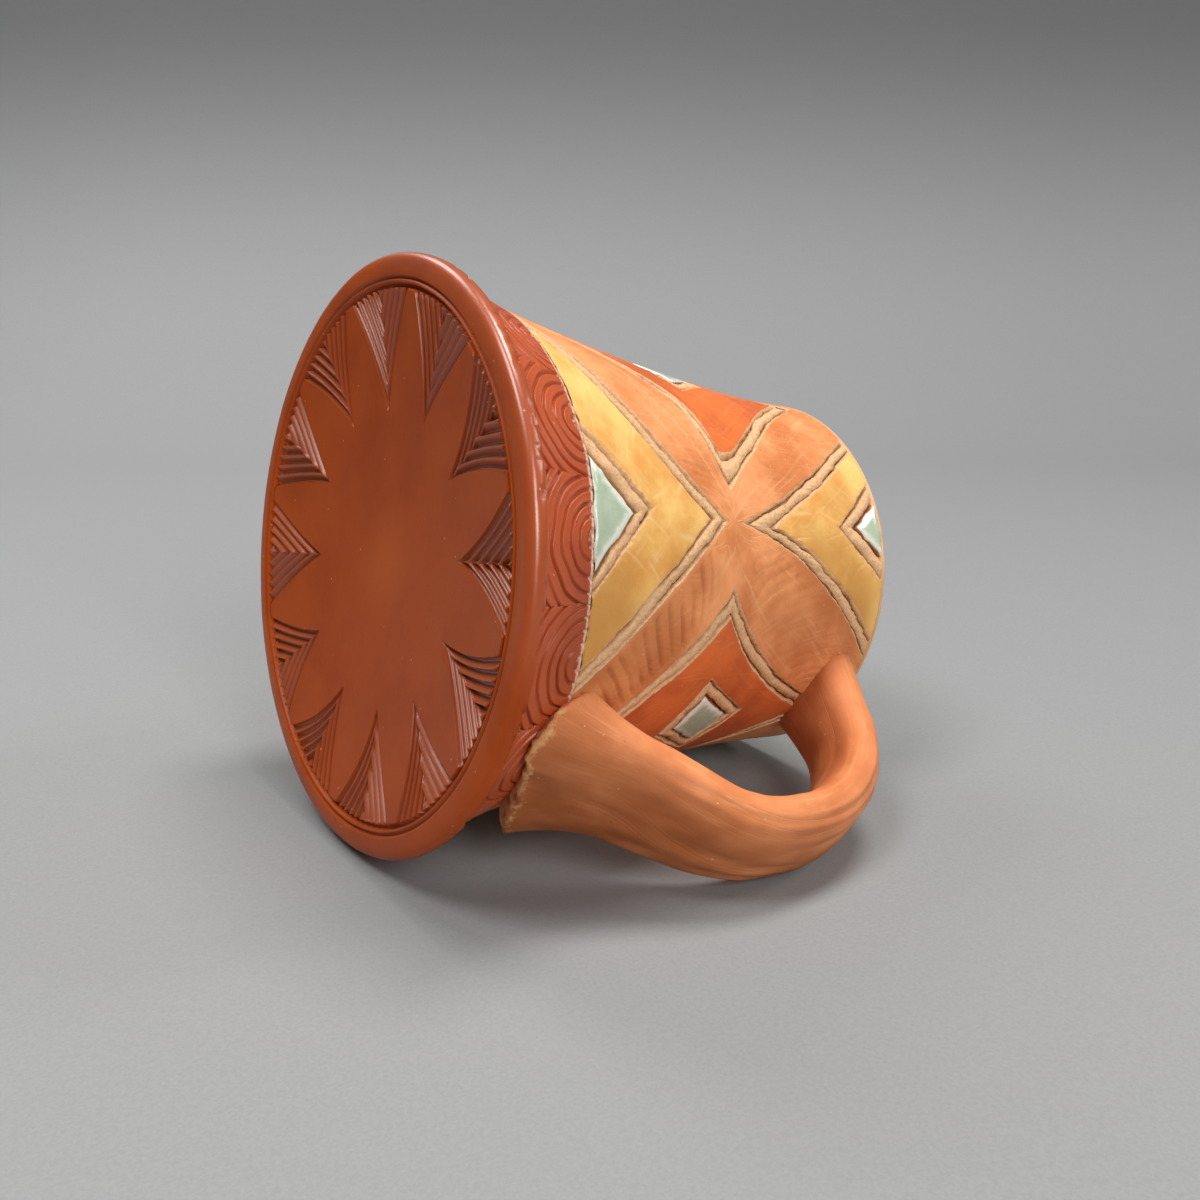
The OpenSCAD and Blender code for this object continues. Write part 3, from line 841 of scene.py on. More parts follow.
# Glazed tiles: corners round each tile, as (angle, z), and rows in from the edge as gap, lift, edge colour
tileShape = {
    "rows": ((0.35, -1.15, 1), (0.12, -0.6, 1), (0, -0.22, 0.85), (-0.3, 0.0, 0.6), (-0.8, 0.07, 0.4),
             (-1.6, 0.1, 0.2), (-2.8, 0.12, 0)),
    "middleLift": 0.13,
    "edge": 0.4,           # gaps past this belong to the border
    "sway": 1, "lean": 1.5,  # how far plain tiles stray, in degrees and millimetres
    "footWidth": 20, "footHeight": 11.5,
    "lipWidth": 12, "lipHeight": 6,
    "lozengeWidth": 14, "lozengeHeight": 13, "lozengeRise": 3,
    "blunt": 1,            # what the glaze's rounded edge takes off a triangle's point
    "perSide": 16,
    "under": 3,            # how far a tile runs on behind the band or past the lip before it is clipped
    "drawnFoot": ((-54.1, 27.0), (-64.2, 17.5), (-44.1, 19.2)), "drawnFootStretch": (0.85, 1, 1.4),
    "drawnLipShift": 2.6, "drawnLipStretch": (1.25, 1, 1.1),
    "drawnLozenge": [(-7.2, 56.0), (3.0, 51.5), (12.3, 61.0), (2.1, 65.5)],
}


def triangle(apex, left, right, level):  # runs the two sides on past the level that clips them
    def runOn(corner):
        return lerp(apex, corner, (level - apex[1]) / (corner[1] - apex[1]))
    return [apex, runOn(right), runOn(left)]


def footTile(flower):
    level = bandTop - tileShape["under"]
    if flower is drawnFlower:
        return framed(triangle(*tileShape["drawnFoot"], level), tileShape["drawnFootStretch"])
    half = tileShape["footWidth"] / 2 / arcOf(bandTop)
    turn = flower["turn"]
    apex = (strayed(turn, tileShape["sway"]), bandTop + tileShape["footHeight"] - tileShape["blunt"])
    return framed(triangle(apex, (turn - half, bandTop), (turn + half, bandTop), level))


def lipTile(flower):
    half = tileShape["lipWidth"] / 2 / arcOf(lipStart)
    drawn = flower is drawnFlower
    turn = flower["turn"] - (tileShape["drawnLipShift"] if drawn else strayed(0, tileShape["sway"]))
    apex = (turn, lipStart - tileShape["lipHeight"] - tileShape["blunt"])
    corners = triangle(apex, (turn - half, lipStart), (turn + half, lipStart), lipStart + tileShape["under"])
    return framed(corners, tileShape["drawnLipStretch"] if drawn else None)


def lozenge(turn):  # corners: left, bottom, right, top
    if turn < lattice["halfTurn"]:
        return framed(tileShape["drawnLozenge"])
    half, tall = tileShape["lozengeWidth"] / 2 / arcOf(lattice["middle"]), tileShape["lozengeHeight"] / 2
    lean = strayed(0, tileShape["lean"])
    middle = lattice["middle"] + tileShape["lozengeRise"]
    return framed([(turn - half, middle + lean), (turn - lean, middle - tall),
                   (turn + half, middle - lean), (turn + lean, middle + tall)])


footTiles = [footTile(flower) for flower in flowers]
lipTiles = [lipTile(flower) for flower in flowers]
lozenges = [lozenge(flower["turn"] + lattice["halfTurn"]) for flower in flowers]


def tileOutline(tile, perSide):
    return lambda gap: roundOutline(offsetPolygon(tile, gap), perSide)


def makeTiles(name, tiles, node):
    bm = startMesh()
    for tile in tiles:
        rows = edgeRows(tileOutline(tile, tileShape["perSide"]), tileShape["rows"])
        last = [point[:2] for point in rows[-1]]
        middle = middleOf(last)
        for share in (0.5, 1):
            rows.append(row([lerp(p, middle, share) for p in last], tileShape["middleLift"], 0))
        loft(bm, rows)
    layCoat(bm, name, materials["tileGlaze"], node, trim=0.2)


makeTiles("footTileGlaze", footTiles, "foot_tiles")
makeTiles("lipTileGlaze", lipTiles, "lip_tiles")
makeTiles("lozengeGlaze", lozenges, "lozenge_tiles")


# The fields between a border and a tile's frame
def addField(bm, flower, tile, corners, outline):
    def frameSide(gap):
        moved = offsetPolygon(tile, gap)
        return resample([moved[corner] for corner in corners], lineCount(flower))
    outer, inner = edgeRows(outline, fieldEdge), edgeRows(frameSide, fieldEdge)
    between = []
    for j in range(1, lattice["fieldRows"] + 1):
        q = j / (lattice["fieldRows"] + 1)
        points = [lerp(p[:2], r[:2], q) for p, r in zip(outer[-1], inner[-1])]
        between.append(row(points, lattice["fieldLift"], 0))
    loft(bm, outer + between + inner[::-1])


def makeOchre(name, rise, tiles, node):
    bm = startMesh()
    for flower, tile in zip(flowers, tiles):
        for side, corner in ((-1, 2), (1, 1)):
            addField(bm, flower, tile, (0, corner),
                     lambda gap: ochreLine(flower, side, rise, gap, whole=False))
    layCoat(bm, name, materials["ochreSlip"], node)


makeOchre("lowerOchre", -1, footTiles, "lower_ochre_fields")
makeOchre("upperOchre", 1, lipTiles, "upper_ochre_fields")


def makeReds():
    bm = startMesh()
    for k, tile in enumerate(lozenges):
        for flower, side, sideCorner in ((flowers[k], 1, 0), (flowers[(k + 1) % len(flowers)], -1, 2)):
            wrap = 360 if side < 0 and flower["turn"] < flowers[k]["turn"] else 0
            for rise, endCorner in ((1, 3), (-1, 1)):
                addField(bm, flower, tile, (sideCorner, endCorner),
                         lambda gap: [(angle + wrap, z) for angle, z in redLine(flower, side, rise, gap)])
    layCoat(bm, "redFields", materials["brickSlip"], "red_diamonds")


makeReds()
print("lattice laid")

# The clay wall with its lip, and the raised ridges left in the middle of each border
wallShape = {
    "turns": 240, "levels": 40, "lipSteps": 12,
    "sway": 0.45, "swayLength": 6, "frameSteps": 40,
    "spare": 0.2,          # how far past the carved face the lip and the inside are counted from
}


def makeRidges():
    bm = startMesh()
    for flower in flowers:
        for side, rise in quarters:
            for draw in (ochreLine, redLine):
                loft(bm, edgeRows(lambda gap: draw(flower, side, rise, gap), ridgeEdge))
    for tile in footTiles + lipTiles + lozenges:
        loft(bm, edgeRows(tileOutline(tile, wallShape["frameSteps"]), ridgeEdge))
    for v in bm.verts:  # a ridge sways between its two cuts
        angle, z, lift = v.co
        place = Vector((angle * arcOf(z), z, 5)) / wallShape["swayLength"]
        sway = noise.noise_vector(place) * wallShape["sway"]
        v.co = (angle + sway.x / arcOf(z), z + sway.y, lift + sway.z)
    clipCoat(bm, trim=0.1)
    wrapCoat(bm)
    return bm


def makeWall():
    bm = startMesh()
    across = body["carve"] + body["clay"]
    levels = [body["floor"]] + [bandTop + (lipStart - bandTop) * k / wallShape["levels"]
                                for k in range(wallShape["levels"] + 1)]
    profile = [(z, -body["carve"], 1) for z in levels]
    for k in range(wallShape["lipSteps"] + 1):
        swing = math.pi * k / wallShape["lipSteps"]
        profile.append((lipStart + body["lip"] * math.sin(swing), across / 2 * (math.cos(swing) - 1), 0))
    profile += [(z, -across, 0) for z in levels[-2::-1]] + [profile[0]]
    turns = [360 * i / wallShape["turns"] for i in range(wallShape["turns"] + 1)]
    loft(bm, [[(angle, z, lift, cut) for angle in turns] for z, lift, cut in profile])
    deep = bm.verts.layers.float["deep"]
    for v in bm.verts:
        if v.co.y > lipStart - wallShape["spare"] or v.co.z < -body["carve"] - wallShape["spare"]:
            v[deep] = 0  # the lip and the inside are no groove, and get no painted shade
    wrapCoat(bm)
    faceOut(bm)
    joinMesh(bm, makeRidges())
    finishPiece(bm, "clayWall", materials["buffClay"], "wall")


makeWall()

# The scalloped band: eyes of nested arcs, centred on the band's upper edge
band = {
    "eyes": 15,
    "turn": -47.5,
    "pitch": 2.35, "pitchSpread": 0.16,
    "cutWidth": 0.75,
    "cutDepth": 0.75, "depthShare": 0.9, "depthSpread": 0.5,
    "wave": 0.5, "waveLength": 5,
    "firstArc": 1.5,
    "arcs": 8,
    "edgeSteps": (0.4, 0.8, 1.2, 1.6),
    "fan": 52, "fanStart": 175, "fanSweep": 190,
    "profile": ((0, 1), (0.08, 0.75), (0.15, 0.12), (0.2, -0.07), (0.3, 0), (0.5, 0), (0.7, 0), (0.8, -0.07),
                (0.85, 0.12), (0.92, 0.75)),  # place between two cuts, depth
    "wornAndSheen": 1.5,           # width of the pale edge: worn bare clay with a painted highlight
    "runOut": 0.9, "runOutLeft": 0.25,  # height in which the arcs run out, and how much is left of them
    "topRound": (0.2, 0.35), "footRound": (0.3, 0.6),  # drop and height of the rounded edges
    "torn": 0.3,
    "thickness": 0.7,
    "footGap": 0.1,
    "weld": 1e-4,
}
bandLow = bandFoot + band["footGap"]


def arcPitch(eye):
    return band["pitch"] * (1 + band["pitchSpread"] * ripple(eye * 1.7, 0.3, 0))


def arcWave(x, down, eye):
    return band["wave"] * ripple(x / band["waveLength"], down / band["waveLength"], eye * 3.1)


def arcDepth(arc, x, eye):
    return band["cutDepth"] * (band["depthShare"] + band["depthSpread"] * ripple(arc * 1.3, eye, x / 9))


def arcCut(x, down, eye):  # depth of the nested arcs round one eye
    phase = (math.hypot(x, down) + arcWave(x, down, eye) - band["firstArc"]) / arcPitch(eye)
    if phase < -0.5:
        return 0
    near = abs(phase - round(phase)) * band["pitch"] / (band["cutWidth"] / 2)
    return -arcDepth(round(phase), x, eye) * max(0, 1 - near)


def eyeRows(eye):  # distance from the eye, number of the arc and share of its depth
    rows = [(0, 0, 0), (band["firstArc"] / 2, 0, 0)]
    for arc in range(band["arcs"]):
        for place, share in band["profile"]:
            rows.append((band["firstArc"] + (arc + place) * arcPitch(eye), arc + round(place), share))
    return rows


def makeEye(k, half):
    bm = startMesh()
    turn = band["turn"] + 2 * half * k
    rows = []
    for distance, arc, share in eyeRows(k):
        line = []
        for i in range(band["fan"] + 1):
            swing = math.radians(band["fanStart"] + band["fanSweep"] * i / band["fan"])
            x, down = distance * math.cos(swing), distance * math.sin(swing)
            radius = distance - arcWave(x, down, k) * smooth(distance / 2)
            depth = arcDepth(arc, x, k) * share
            x, z = radius * math.cos(swing), bandTop + radius * math.sin(swing)
            line.append((turn + x / arcOf(max(z, bandLow)), z, -depth, 0))
        rows.append(line)
    loft(bm, rows)
    weld(bm, band["weld"])
    for place, normal in (((turn - half, 0, 0), (-1, 0, 0)), ((turn + half, 0, 0), (1, 0, 0)),
                          ((0, bandLow, 0), (0, -1, 0)), ((0, bandTop, 0), (0, 1, 0))):
        cutPlane(bm, place, normal)
    for step in band["edgeSteps"]:  # lines for the worn edge to follow
        cutPlane(bm, (0, bandTop - step, 0), (0, 1, 0), clear=False)
    return bm


def makeBand():
    bm = startMesh()
    for k in range(band["eyes"]):
        joinMesh(bm, makeEye(k, 180 / band["eyes"]))
    cut = bm.verts.layers.float["cut"]
    (topDrop, topHigh), (footDrop, footHigh) = band["topRound"], band["footRound"]
    for v in bm.verts:  # the arcs run out at the upper edge, and both edges are rounded down
        top = bandTop - v.co.y
        v.co.z *= smooth(top / band["runOut"] + band["runOutLeft"])
        foot = v.co.y - bandLow
        v.co.z += -topDrop * (1 - smooth(top / topHigh)) - footDrop * (1 - smooth(foot / footHigh))
        v[cut] = 1 - smooth(top / band["wornAndSheen"])
    wrapCoat(bm, band["torn"])
    finishPiece(bm, "scallopBand", materials["bandSlip"], "scallop_band", band["thickness"])


makeBand()

# The base: a dished face with twelve carved rays, a ring of grooves and a rounded edge
base = {
    "edgeRadius": 56.85,
    "faceRadius": 53,
    "edgeHeight": 4.2,
    "edgeFull": 0.68,      # fullness of the edge: 1 is an ellipse
    "dishDepth": 4.4,
    "dishRadius": 51.8,
    "ringRadius": 50.2,
    "rays": 12,
    "turn": 17.5,
    "tips": (29.5, 28.8, 30.1, 31.9, 28.8, 29.3, 29.5, 27.5, 28.3, 28.3, 28.8, 28.1),
    "spread": 13.2,        # half the width of a ray at the ring, in degrees
    "strokes": 5, "bowRange": (-0.1, 0.35), "flare": 0.35,
    "fadeRun": 9, "fadeLeft": 0.35,  # how soon a stroke gets deep, and its depth at the point
    # place and depth across one stroke
    "strokeProfile": ((0, -0.06), (0.06, 0.3), (0.24, 1.25), (0.42, 1.1), (0.7, 0.45), (0.9, 0.0)),
    "shadeDepth": 1.1,
    "columns": 40,
    "flatShares": (0, 0.1, 0.2, 0.3, 0.4, 0.5, 0.6, 0.7, 0.8, 0.88, 0.94, 0.975, 0.992, 1),
    "edgeSteps": 14, "edgeStart": -90, "edgeSweep": 165,
    "topGap": 0.05,
    "grooves": ((0.08, 0.5), (0.35, 1.3), (0.75, 1.2), (1.0, 0.15), (1.25, 0), (1.5, 0.1), (1.7, 0.75),
                (2.05, 0.7), (2.25, 0.1), (2.5, 0)),  # distance from the ring's radius, depth
    "burr": 0.45, "burrColumns": 3,  # clay pushed up where a stroke ends at the ring
    "wobble": 0.12, "wobbleLength": 9, "wobbleFrom": 20, "wobbleRise": 0.4,
    # the band's strokes on the shoulder: heights where they start and end, and the radius, each with its run
    "nickStart": (1.7, 1.6), "nickEnd": (6, 1.5), "nickRadius": (52, 1.5),
    "weld": 0.008,
}


def dishHeight(radius):
    return base["dishDepth"] * (1 - (radius / base["dishRadius"]) ** 2) if radius < base["dishRadius"] else 0


def onFace(radius, angle, depth):
    return polar(radius, angle, dishHeight(radius) + depth)


def rayLine(tip, side, share, bow):  # a stroke from the ray's middle to the ring, nested inside the outline
    ring = base["ringRadius"]
    start = tip + (ring - tip) * share
    end = base["spread"] * (1 - share)
    points = []
    for k in range(base["columns"] + 1):
        t = k / base["columns"]
        angle = side * end * bowed(t, bow, 2) * (1 + base["flare"] * (1 - t) * (start / ring))
        points.append((start + (ring - start) * t, angle))
    return points


def edgeProfile():  # from the ring of grooves, round the edge and over the top to the axis
    ring, face, full = base["ringRadius"], base["faceRadius"], base["edgeFull"]
    half, reach = base["edgeHeight"] / 2, base["edgeRadius"] - base["faceRadius"]
    profile = [(ring + step, dishHeight(ring + step) + deep) for step, deep in base["grooves"]]
    for k in range(base["edgeSteps"] + 1):
        swing = math.radians(base["edgeStart"] + base["edgeSweep"] * k / base["edgeSteps"])
        c, s = math.cos(swing), math.sin(swing)
        profile.append((face + reach * max(0, c)**full, half + math.copysign(half * abs(s)**full, s)))
    top = body["floor"] - base["topGap"]
    return profile + [(clayRadius(bandFoot), bandFoot), (clayRadius(top), top), (0, top)]


def addRay(bm, index, side):
    turn = base["turn"] + 360 / base["rays"] * index
    tip, ring, columns = base["tips"][index], base["ringRadius"], base["columns"]
    bow = random.uniform(*base["bowRange"])
    cuts = [((k + place) / base["strokes"], depth)
            for k in range(base["strokes"]) for place, depth in base["strokeProfile"]]
    rows = []
    for share, depth in cuts + [(1, 0)]:
        line = []
        for k, (radius, angle) in enumerate(rayLine(tip, side, share, bow)):
            fade = smooth(k / columns * base["fadeRun"] + base["fadeLeft"])
            lump = smooth((k - columns + base["burrColumns"]) / base["burrColumns"])
            lump *= max(0, ripple(radius, turn + angle * 9, 2))
            line.append(onFace(radius, turn + angle, depth * fade - base["burr"] * lump))
        rows.append(line)
    for v in gridFrom(bm, rows):
        v[bm.verts.layers.float["polish"]] = 1
    gap = [side * (base["spread"] + (180 / base["rays"] - base["spread"]) * k / 3) for k in (1, 2, 3)]
    outline = rayLine(tip, side, 0, bow) + [(ring, angle) for angle in gap]
    gridFrom(bm, [[onFace(radius * share, turn + angle, 0) for radius, angle in outline]
                  for share in base["flatShares"]])
    ends = [onFace(ring, turn + angle, 0) for angle in gap[::-1]] + [line[-1] for line in rows]
    gridFrom(bm, [[end] + [polar(radius, turnOf(end), z) for radius, z in edgeProfile()] for end in ends])


def nickEdge(place, radius):  # the band's strokes run out over the shoulder of the edge
    (start, startRun), (end, endRun) = base["nickStart"], base["nickEnd"]
    inner, innerRun = base["nickRadius"]
    notch = smooth((place.z - start) / startRun) * smooth((radius - inner) / innerRun)
    notch *= smooth((end - place.z) / endRun)
    if notch > 0:
        angle = turnOf(place) - band["turn"]
        eye = round(angle * band["eyes"] / 360)
        x = (angle - eye * 360 / band["eyes"]) * arcOf(bandFoot)
        nick = 1 + min(0, arcCut(x, bandTop - place.z, eye % band["eyes"]) * notch / radius)
        place.x *= nick
        place.y *= nick


def makeBase():
    bm = startMesh()
    for index in range(base["rays"]):
        for side in (-1, 1):
            addRay(bm, index, side)
    weld(bm, base["weld"])
    layers = bm.verts.layers.float
    for v in bm.verts:
        if v.co.z < body["floor"] - 1:  # all but the flat top
            radius = math.hypot(v.co.x, v.co.y)
            depth = v.co.z - dishHeight(radius)
            # the strokes' grooves are painted darker by their depth: painted shade
            v[layers["deep"]] = v[layers["polish"]] * smooth(depth / base["shadeDepth"])
            wobble = noise.noise_vector(v.co / base["wobbleLength"]) * base["wobble"]
            wobble *= smooth(radius / base["wobbleFrom"])
            wobble.z *= base["wobbleRise"] * (radius < base["ringRadius"])
            v.co += wobble
            v.co.z = max(0, v.co.z)  # no burr stands below the ring that the mug rests on
            nickEdge(v.co, radius)
    faceOut(bm)
    finishPiece(bm, "carvedBase", materials["baseSlip"], "base_slab")


makeBase()

# The glaze that lines the cup
liner = {"corner": 4, "gap": 0.1, "lift": 0.02, "lipGap": 1, "levels": 24, "steps": 128, "arcSteps": 6}


def makeLiner():
    bm = startMesh()
    floor, corner, thick = body["floor"], liner["corner"], body["liner"]
    across = body["carve"] + body["clay"] + liner["gap"]
    levels = [bandTop + (lipStart - liner["lipGap"] - bandTop) * k / liner["levels"]
              for k in range(liner["levels"] + 1)]
    profile = [(0, floor + liner["lift"]), (skinRadius(floor) - across, floor + liner["lift"])]
    profile += [(skinRadius(z) - across, z) for z in levels]
    profile += [(skinRadius(z) - across - thick, z) for z in levels[::-1]]
    foot = floor + thick + corner
    wide = skinRadius(foot) - across - thick
    for k in range(liner["arcSteps"] + 1):
        swing = math.pi / 2 * k / liner["arcSteps"]
        profile.append((wide - corner * (1 - math.cos(swing)), foot - corner * math.sin(swing)))
    profile.append((0, floor + thick))
    turns = [360 * k / liner["steps"] for k in range(liner["steps"] + 1)]
    gridFrom(bm, [[polar(radius, angle, z) for radius, z in profile] for angle in turns])
    weld(bm)
    faceOut(bm)
    finishPiece(bm, "liner", materials["linerGlaze"], "liner_glaze")


makeLiner()

# The pulled strap handle, from its lower joint to its upper one
handle = {
    "reach": 77, "bowHeight": 59, "width": 19.5, "rootWidth": 27, "rootThickness": 12.6, "topThickness": 8.5,
    "rootHeight": 19.5, "rootJoint": (33, 16.5), "rootShift": 2,
    "topJoint": (24, 12.5), "topHeight": 93.25,
    "rootPull": (0.5, 0.5), "bowPull": (0.42, 0.6), "topPull": 0.56,
    "flare": 0.16, "square": 0.85, "rootFade": 1.5, "flareClose": 2,
    "topOff": 0.1, "rootSunk": 0.2,  # the upper joint stands off the clay, and the lower one's end sinks into it
    "sides": 72, "rings": 180, "runStep": 0.004,
    # the torn edge of the lower joint
    "lipOff": 1.7, "tailOff": 3.4, "tailReach": 3.8, "tailRise": 2.6, "shoulder": 2.6, "tear": 0.6,
    "rootRows": ((0.8, 1), (0.9, 0.6), (0.98, 0.25)),  # share of the joint, how far it sinks into the clay
    "tornRings": 7, "tornFade": 4, "tornBare": 0.55, "tornSpread": 0.5, "tornLength": 2.2,
    # marks of the fingers along the strap: angle, width, depth
    "drags": ((52, 9, 0.55), (80, 7, 0.75), (103, 9, 0.55), (128, 6, 0.85), (150, 10, 0.7), (176, 9, 0.5),
              (250, 14, 0.5), (300, 10, 0.35)),
    "dragDrift": 14, "dragSway": 9, "dragStart": (0.06, 0.15), "dragEnd": (0.97, 0.12),  # place and run
    "lumpFade": 12, "lumps": ((11, 0.3), (4, 0.12)),  # length and height
    # painted shade, darker brown on one side and inside under the upper joint, laid unevenly: middle, reach and
    # fade in degrees
    "smokeAndShade": 0.7, "shadeSide": (35, 165, 110), "shadeUnder": (270, 60, 40), "shadeStart": (0.6, 0.25),
    "shadeCloud": 0.9,
    "alongStep": 0.8, "acrossStep": 0.7,
}


def bezier(points, t):
    p, q, r, s = points
    return p * (1 - t)**3 + q * 3 * t * (1 - t)**2 + r * 3 * t**2 * (1 - t) + s * t**3


def makeHandleLine():
    root = Vector((clayRadius(handle["rootHeight"]), handle["rootHeight"]))
    inset = (handle["rootThickness"] + handle["topThickness"]) / 4
    bow = Vector((handle["reach"] - inset, handle["bowHeight"]))
    top = Vector((clayRadius(handle["topHeight"]), handle["topHeight"]))
    rootSpan, topSpan = bow - root, top - bow
    rootPull, bowPull = handle["rootPull"], handle["bowPull"]
    lower = (root, root + Vector((rootSpan.x * rootPull[0], rootSpan.y * rootPull[1])),
             bow - Vector((0, rootSpan.y * bowPull[0])), bow)
    upper = (bow, bow + Vector((0, topSpan.y * bowPull[1])),
             top - Vector((topSpan.x * handle["topPull"], 0)), top)
    return lambda t: bezier(lower, 2 * t) if t < 0.5 else bezier(upper, 2 * t - 1)


handleLine = makeHandleLine()


def handleRun(t):
    step = handle["runStep"]
    return (handleLine(min(1, t + step)) - handleLine(max(0, t - step))).normalized()


def sectionShare(degrees):
    c, s = math.cos(math.radians(degrees)), math.sin(math.radians(degrees))
    return math.copysign(abs(c)**handle["square"], c), math.copysign(abs(s)**handle["square"], s)


def strapPoint(t, degrees):
    centre, run = handleLine(t), handleRun(t)
    across, out = sectionShare(degrees)
    left = max(0, 1 - 2 * t)**handle["rootFade"]
    thick = handle["rootThickness"] + (handle["topThickness"] - handle["rootThickness"]) * t
    wide = handle["width"] + (handle["rootWidth"] - handle["width"]) * left
    place = centre + Vector((run.y, -run.x)) * out * thick / 2
    return Vector((place.x, across * wide / 2 + handle["rootShift"] * left, place.y))


def topPoint(degrees):  # the ring of the upper joint
    across, out = sectionShare(degrees)
    width, tall = handle["topJoint"]
    y, z = across * width / 2, handle["topHeight"] + out * tall / 2
    radius = clayRadius(z) + handle["topOff"]
    return Vector((math.sqrt(radius**2 - y**2), y, z))


def rootPoint(degrees, share=1, sink=0):  # a ring of the lower joint, drawn in and sunk into the clay
    across, out = sectionShare(degrees)
    width, tall = handle["rootJoint"]
    low = smooth(out * 1.5 + 0.5)
    tail = low * smooth(across * 1.1 - 0.05)
    y = handle["rootShift"] + (across * width / 2 + handle["tailReach"] * tail) * share
    rise = handle["tailRise"] * smooth(across + 0.5) - handle["shoulder"] * smooth(-1.4 * across)
    z = handle["rootHeight"] + (rise * low - out * tall / 2) * share
    off = (handle["lipOff"] * low + handle["tailOff"] * tail) * (1 - sink)
    off -= (body["carve"] + handle["rootSunk"]) * sink
    tear = noise.noise(Vector((y, z, 0)) / 1.8) + 0.6 * noise.noise(Vector((y, z, 4)) / 0.7)
    tear *= handle["tear"] * low * (1 - sink)
    radius = skinRadius(z) + off + tear
    return Vector((math.sqrt(radius**2 - y**2), y, z + tear))


def flarePoint(joint, strap, run, t):  # closes in sideways first, then joins the strap's line
    span = strap - joint
    leave = Vector((span.x, span.y * handle["flareClose"], span.z))
    return hermite(joint, strap, leave, Vector((run.x, 0, run.y)) * span.length, t)


def handlePoint(t, degrees):
    flare = handle["flare"]
    if t < flare:
        return flarePoint(rootPoint(degrees), strapPoint(flare, degrees), handleRun(flare), t / flare)
    end = 1 - flare
    if t > end:
        return flarePoint(topPoint(degrees), strapPoint(end, degrees), -handleRun(end), (1 - t) / flare)
    return strapPoint(t, degrees)


def dragDepth(t, degrees):
    (start, startRun), (end, endRun) = handle["dragStart"], handle["dragEnd"]
    held = smooth((t - start) / startRun) * smooth((end - t) / endRun)
    drift = handle["dragDrift"] * ripple(t * 2.2, 0, 3)
    total = 0
    for place, width, depth in handle["drags"]:
        sway = handle["dragSway"] * ripple(t * 3, place, 0)
        off = (degrees - place - drift - sway + 180) % 360 - 180
        total += depth * smooth(0.6 + 1.6 * ripple(t * 4, place, 7)) * math.exp(-(off / width)**2)
    return total * held


def handlePaintedShade(t, degrees, place):
    def facing(middle, reach, fade):
        return smooth((reach - abs(degrees - middle)) / fade)
    start, run = handle["shadeStart"]
    outer = facing(*handle["shadeSide"])
    under = smooth((t - start) / run) * facing(*handle["shadeUnder"])
    cloud = noise.noise(place / 13) + 0.5 * noise.noise(Vector((place.x, place.y * 3, place.z)) / 6)
    return min(1, max(0, handle["smokeAndShade"] * max(outer, under) * (1 + handle["shadeCloud"] * cloud)))


def makeHandle():
    bm = startMesh()
    sides, rings = handle["sides"], handle["rings"]
    turns = [360 * (i % sides) / sides for i in range(sides + 1)]
    rows = [[rootPoint(degrees, share, sink) for degrees in turns] for share, sink in handle["rootRows"]]
    for j in range(rings + 1):
        t = j / rings
        centre = handleLine(t)
        line = []
        for degrees in turns:
            place = handlePoint(t, degrees)
            inward = (Vector((centre.x, place.y * 0.3, centre.y)) - place).normalized()
            lump = sum(high * noise.noise(place / length) for length, high in handle["lumps"])
            lump *= smooth(t * handle["lumpFade"]) * smooth((1 - t) * handle["lumpFade"])
            line.append(place + inward * (dragDepth(t, degrees) + lump))
        rows.append(line)
    gridFrom(bm, rows)
    layers = bm.verts.layers.float
    for k, v in enumerate(bm.verts):
        ring, degrees = k // (sides + 1), turns[k % (sides + 1)]
        v[layers["along"]] = ring * handle["alongStep"]
        v[layers["across"]] = (k % (sides + 1)) * handle["acrossStep"]
        torn = smooth((handle["tornRings"] - ring) / handle["tornFade"])
        torn *= smooth(math.sin(math.radians(degrees)) * 1.5 + 0.5)
        rough = handle["tornSpread"] * noise.noise(v.co / handle["tornLength"])
        v[layers["cut"]] = torn * (handle["tornBare"] + rough)
        # painted shade on one side of the strap and under the upper joint
        v[layers["smokeAndShade"]] = handlePaintedShade(ring / rings, degrees, v.co)
    weld(bm)
    bmesh.ops.holes_fill(bm, edges=[e for e in bm.edges if e.is_boundary], sides=0)
    faceOut(bm)
    finishPiece(bm, "strapHandle", materials["handleSlip"], "handle")


makeHandle()
print("all pieces made")

# Camera at the photograph's place, in millimetres, with its right and up directions
camera = {
    "place": (159.23, -148.27, -103.94),
    "right": (0.404840, -0.428244, 0.807906),
    "up": (-0.713179, -0.700841, -0.014120),
    "lens": 37.5,
    "sensor": 36,
}


def makeCamera():
    right, up = Vector(camera["right"]), Vector(camera["up"])
    turn = Matrix((right, up, right.cross(up))).transposed().to_4x4()
    data = bpy.data.cameras.new("photoCamera")
    data.lens = camera["lens"]
    data.sensor_width = camera["sensor"]
    made = addObject("photoCamera", data)
    made.matrix_world = Matrix.Translation(Vector(camera["place"]) * mm) @ turn
    bpy.context.scene.camera = made


makeCamera()

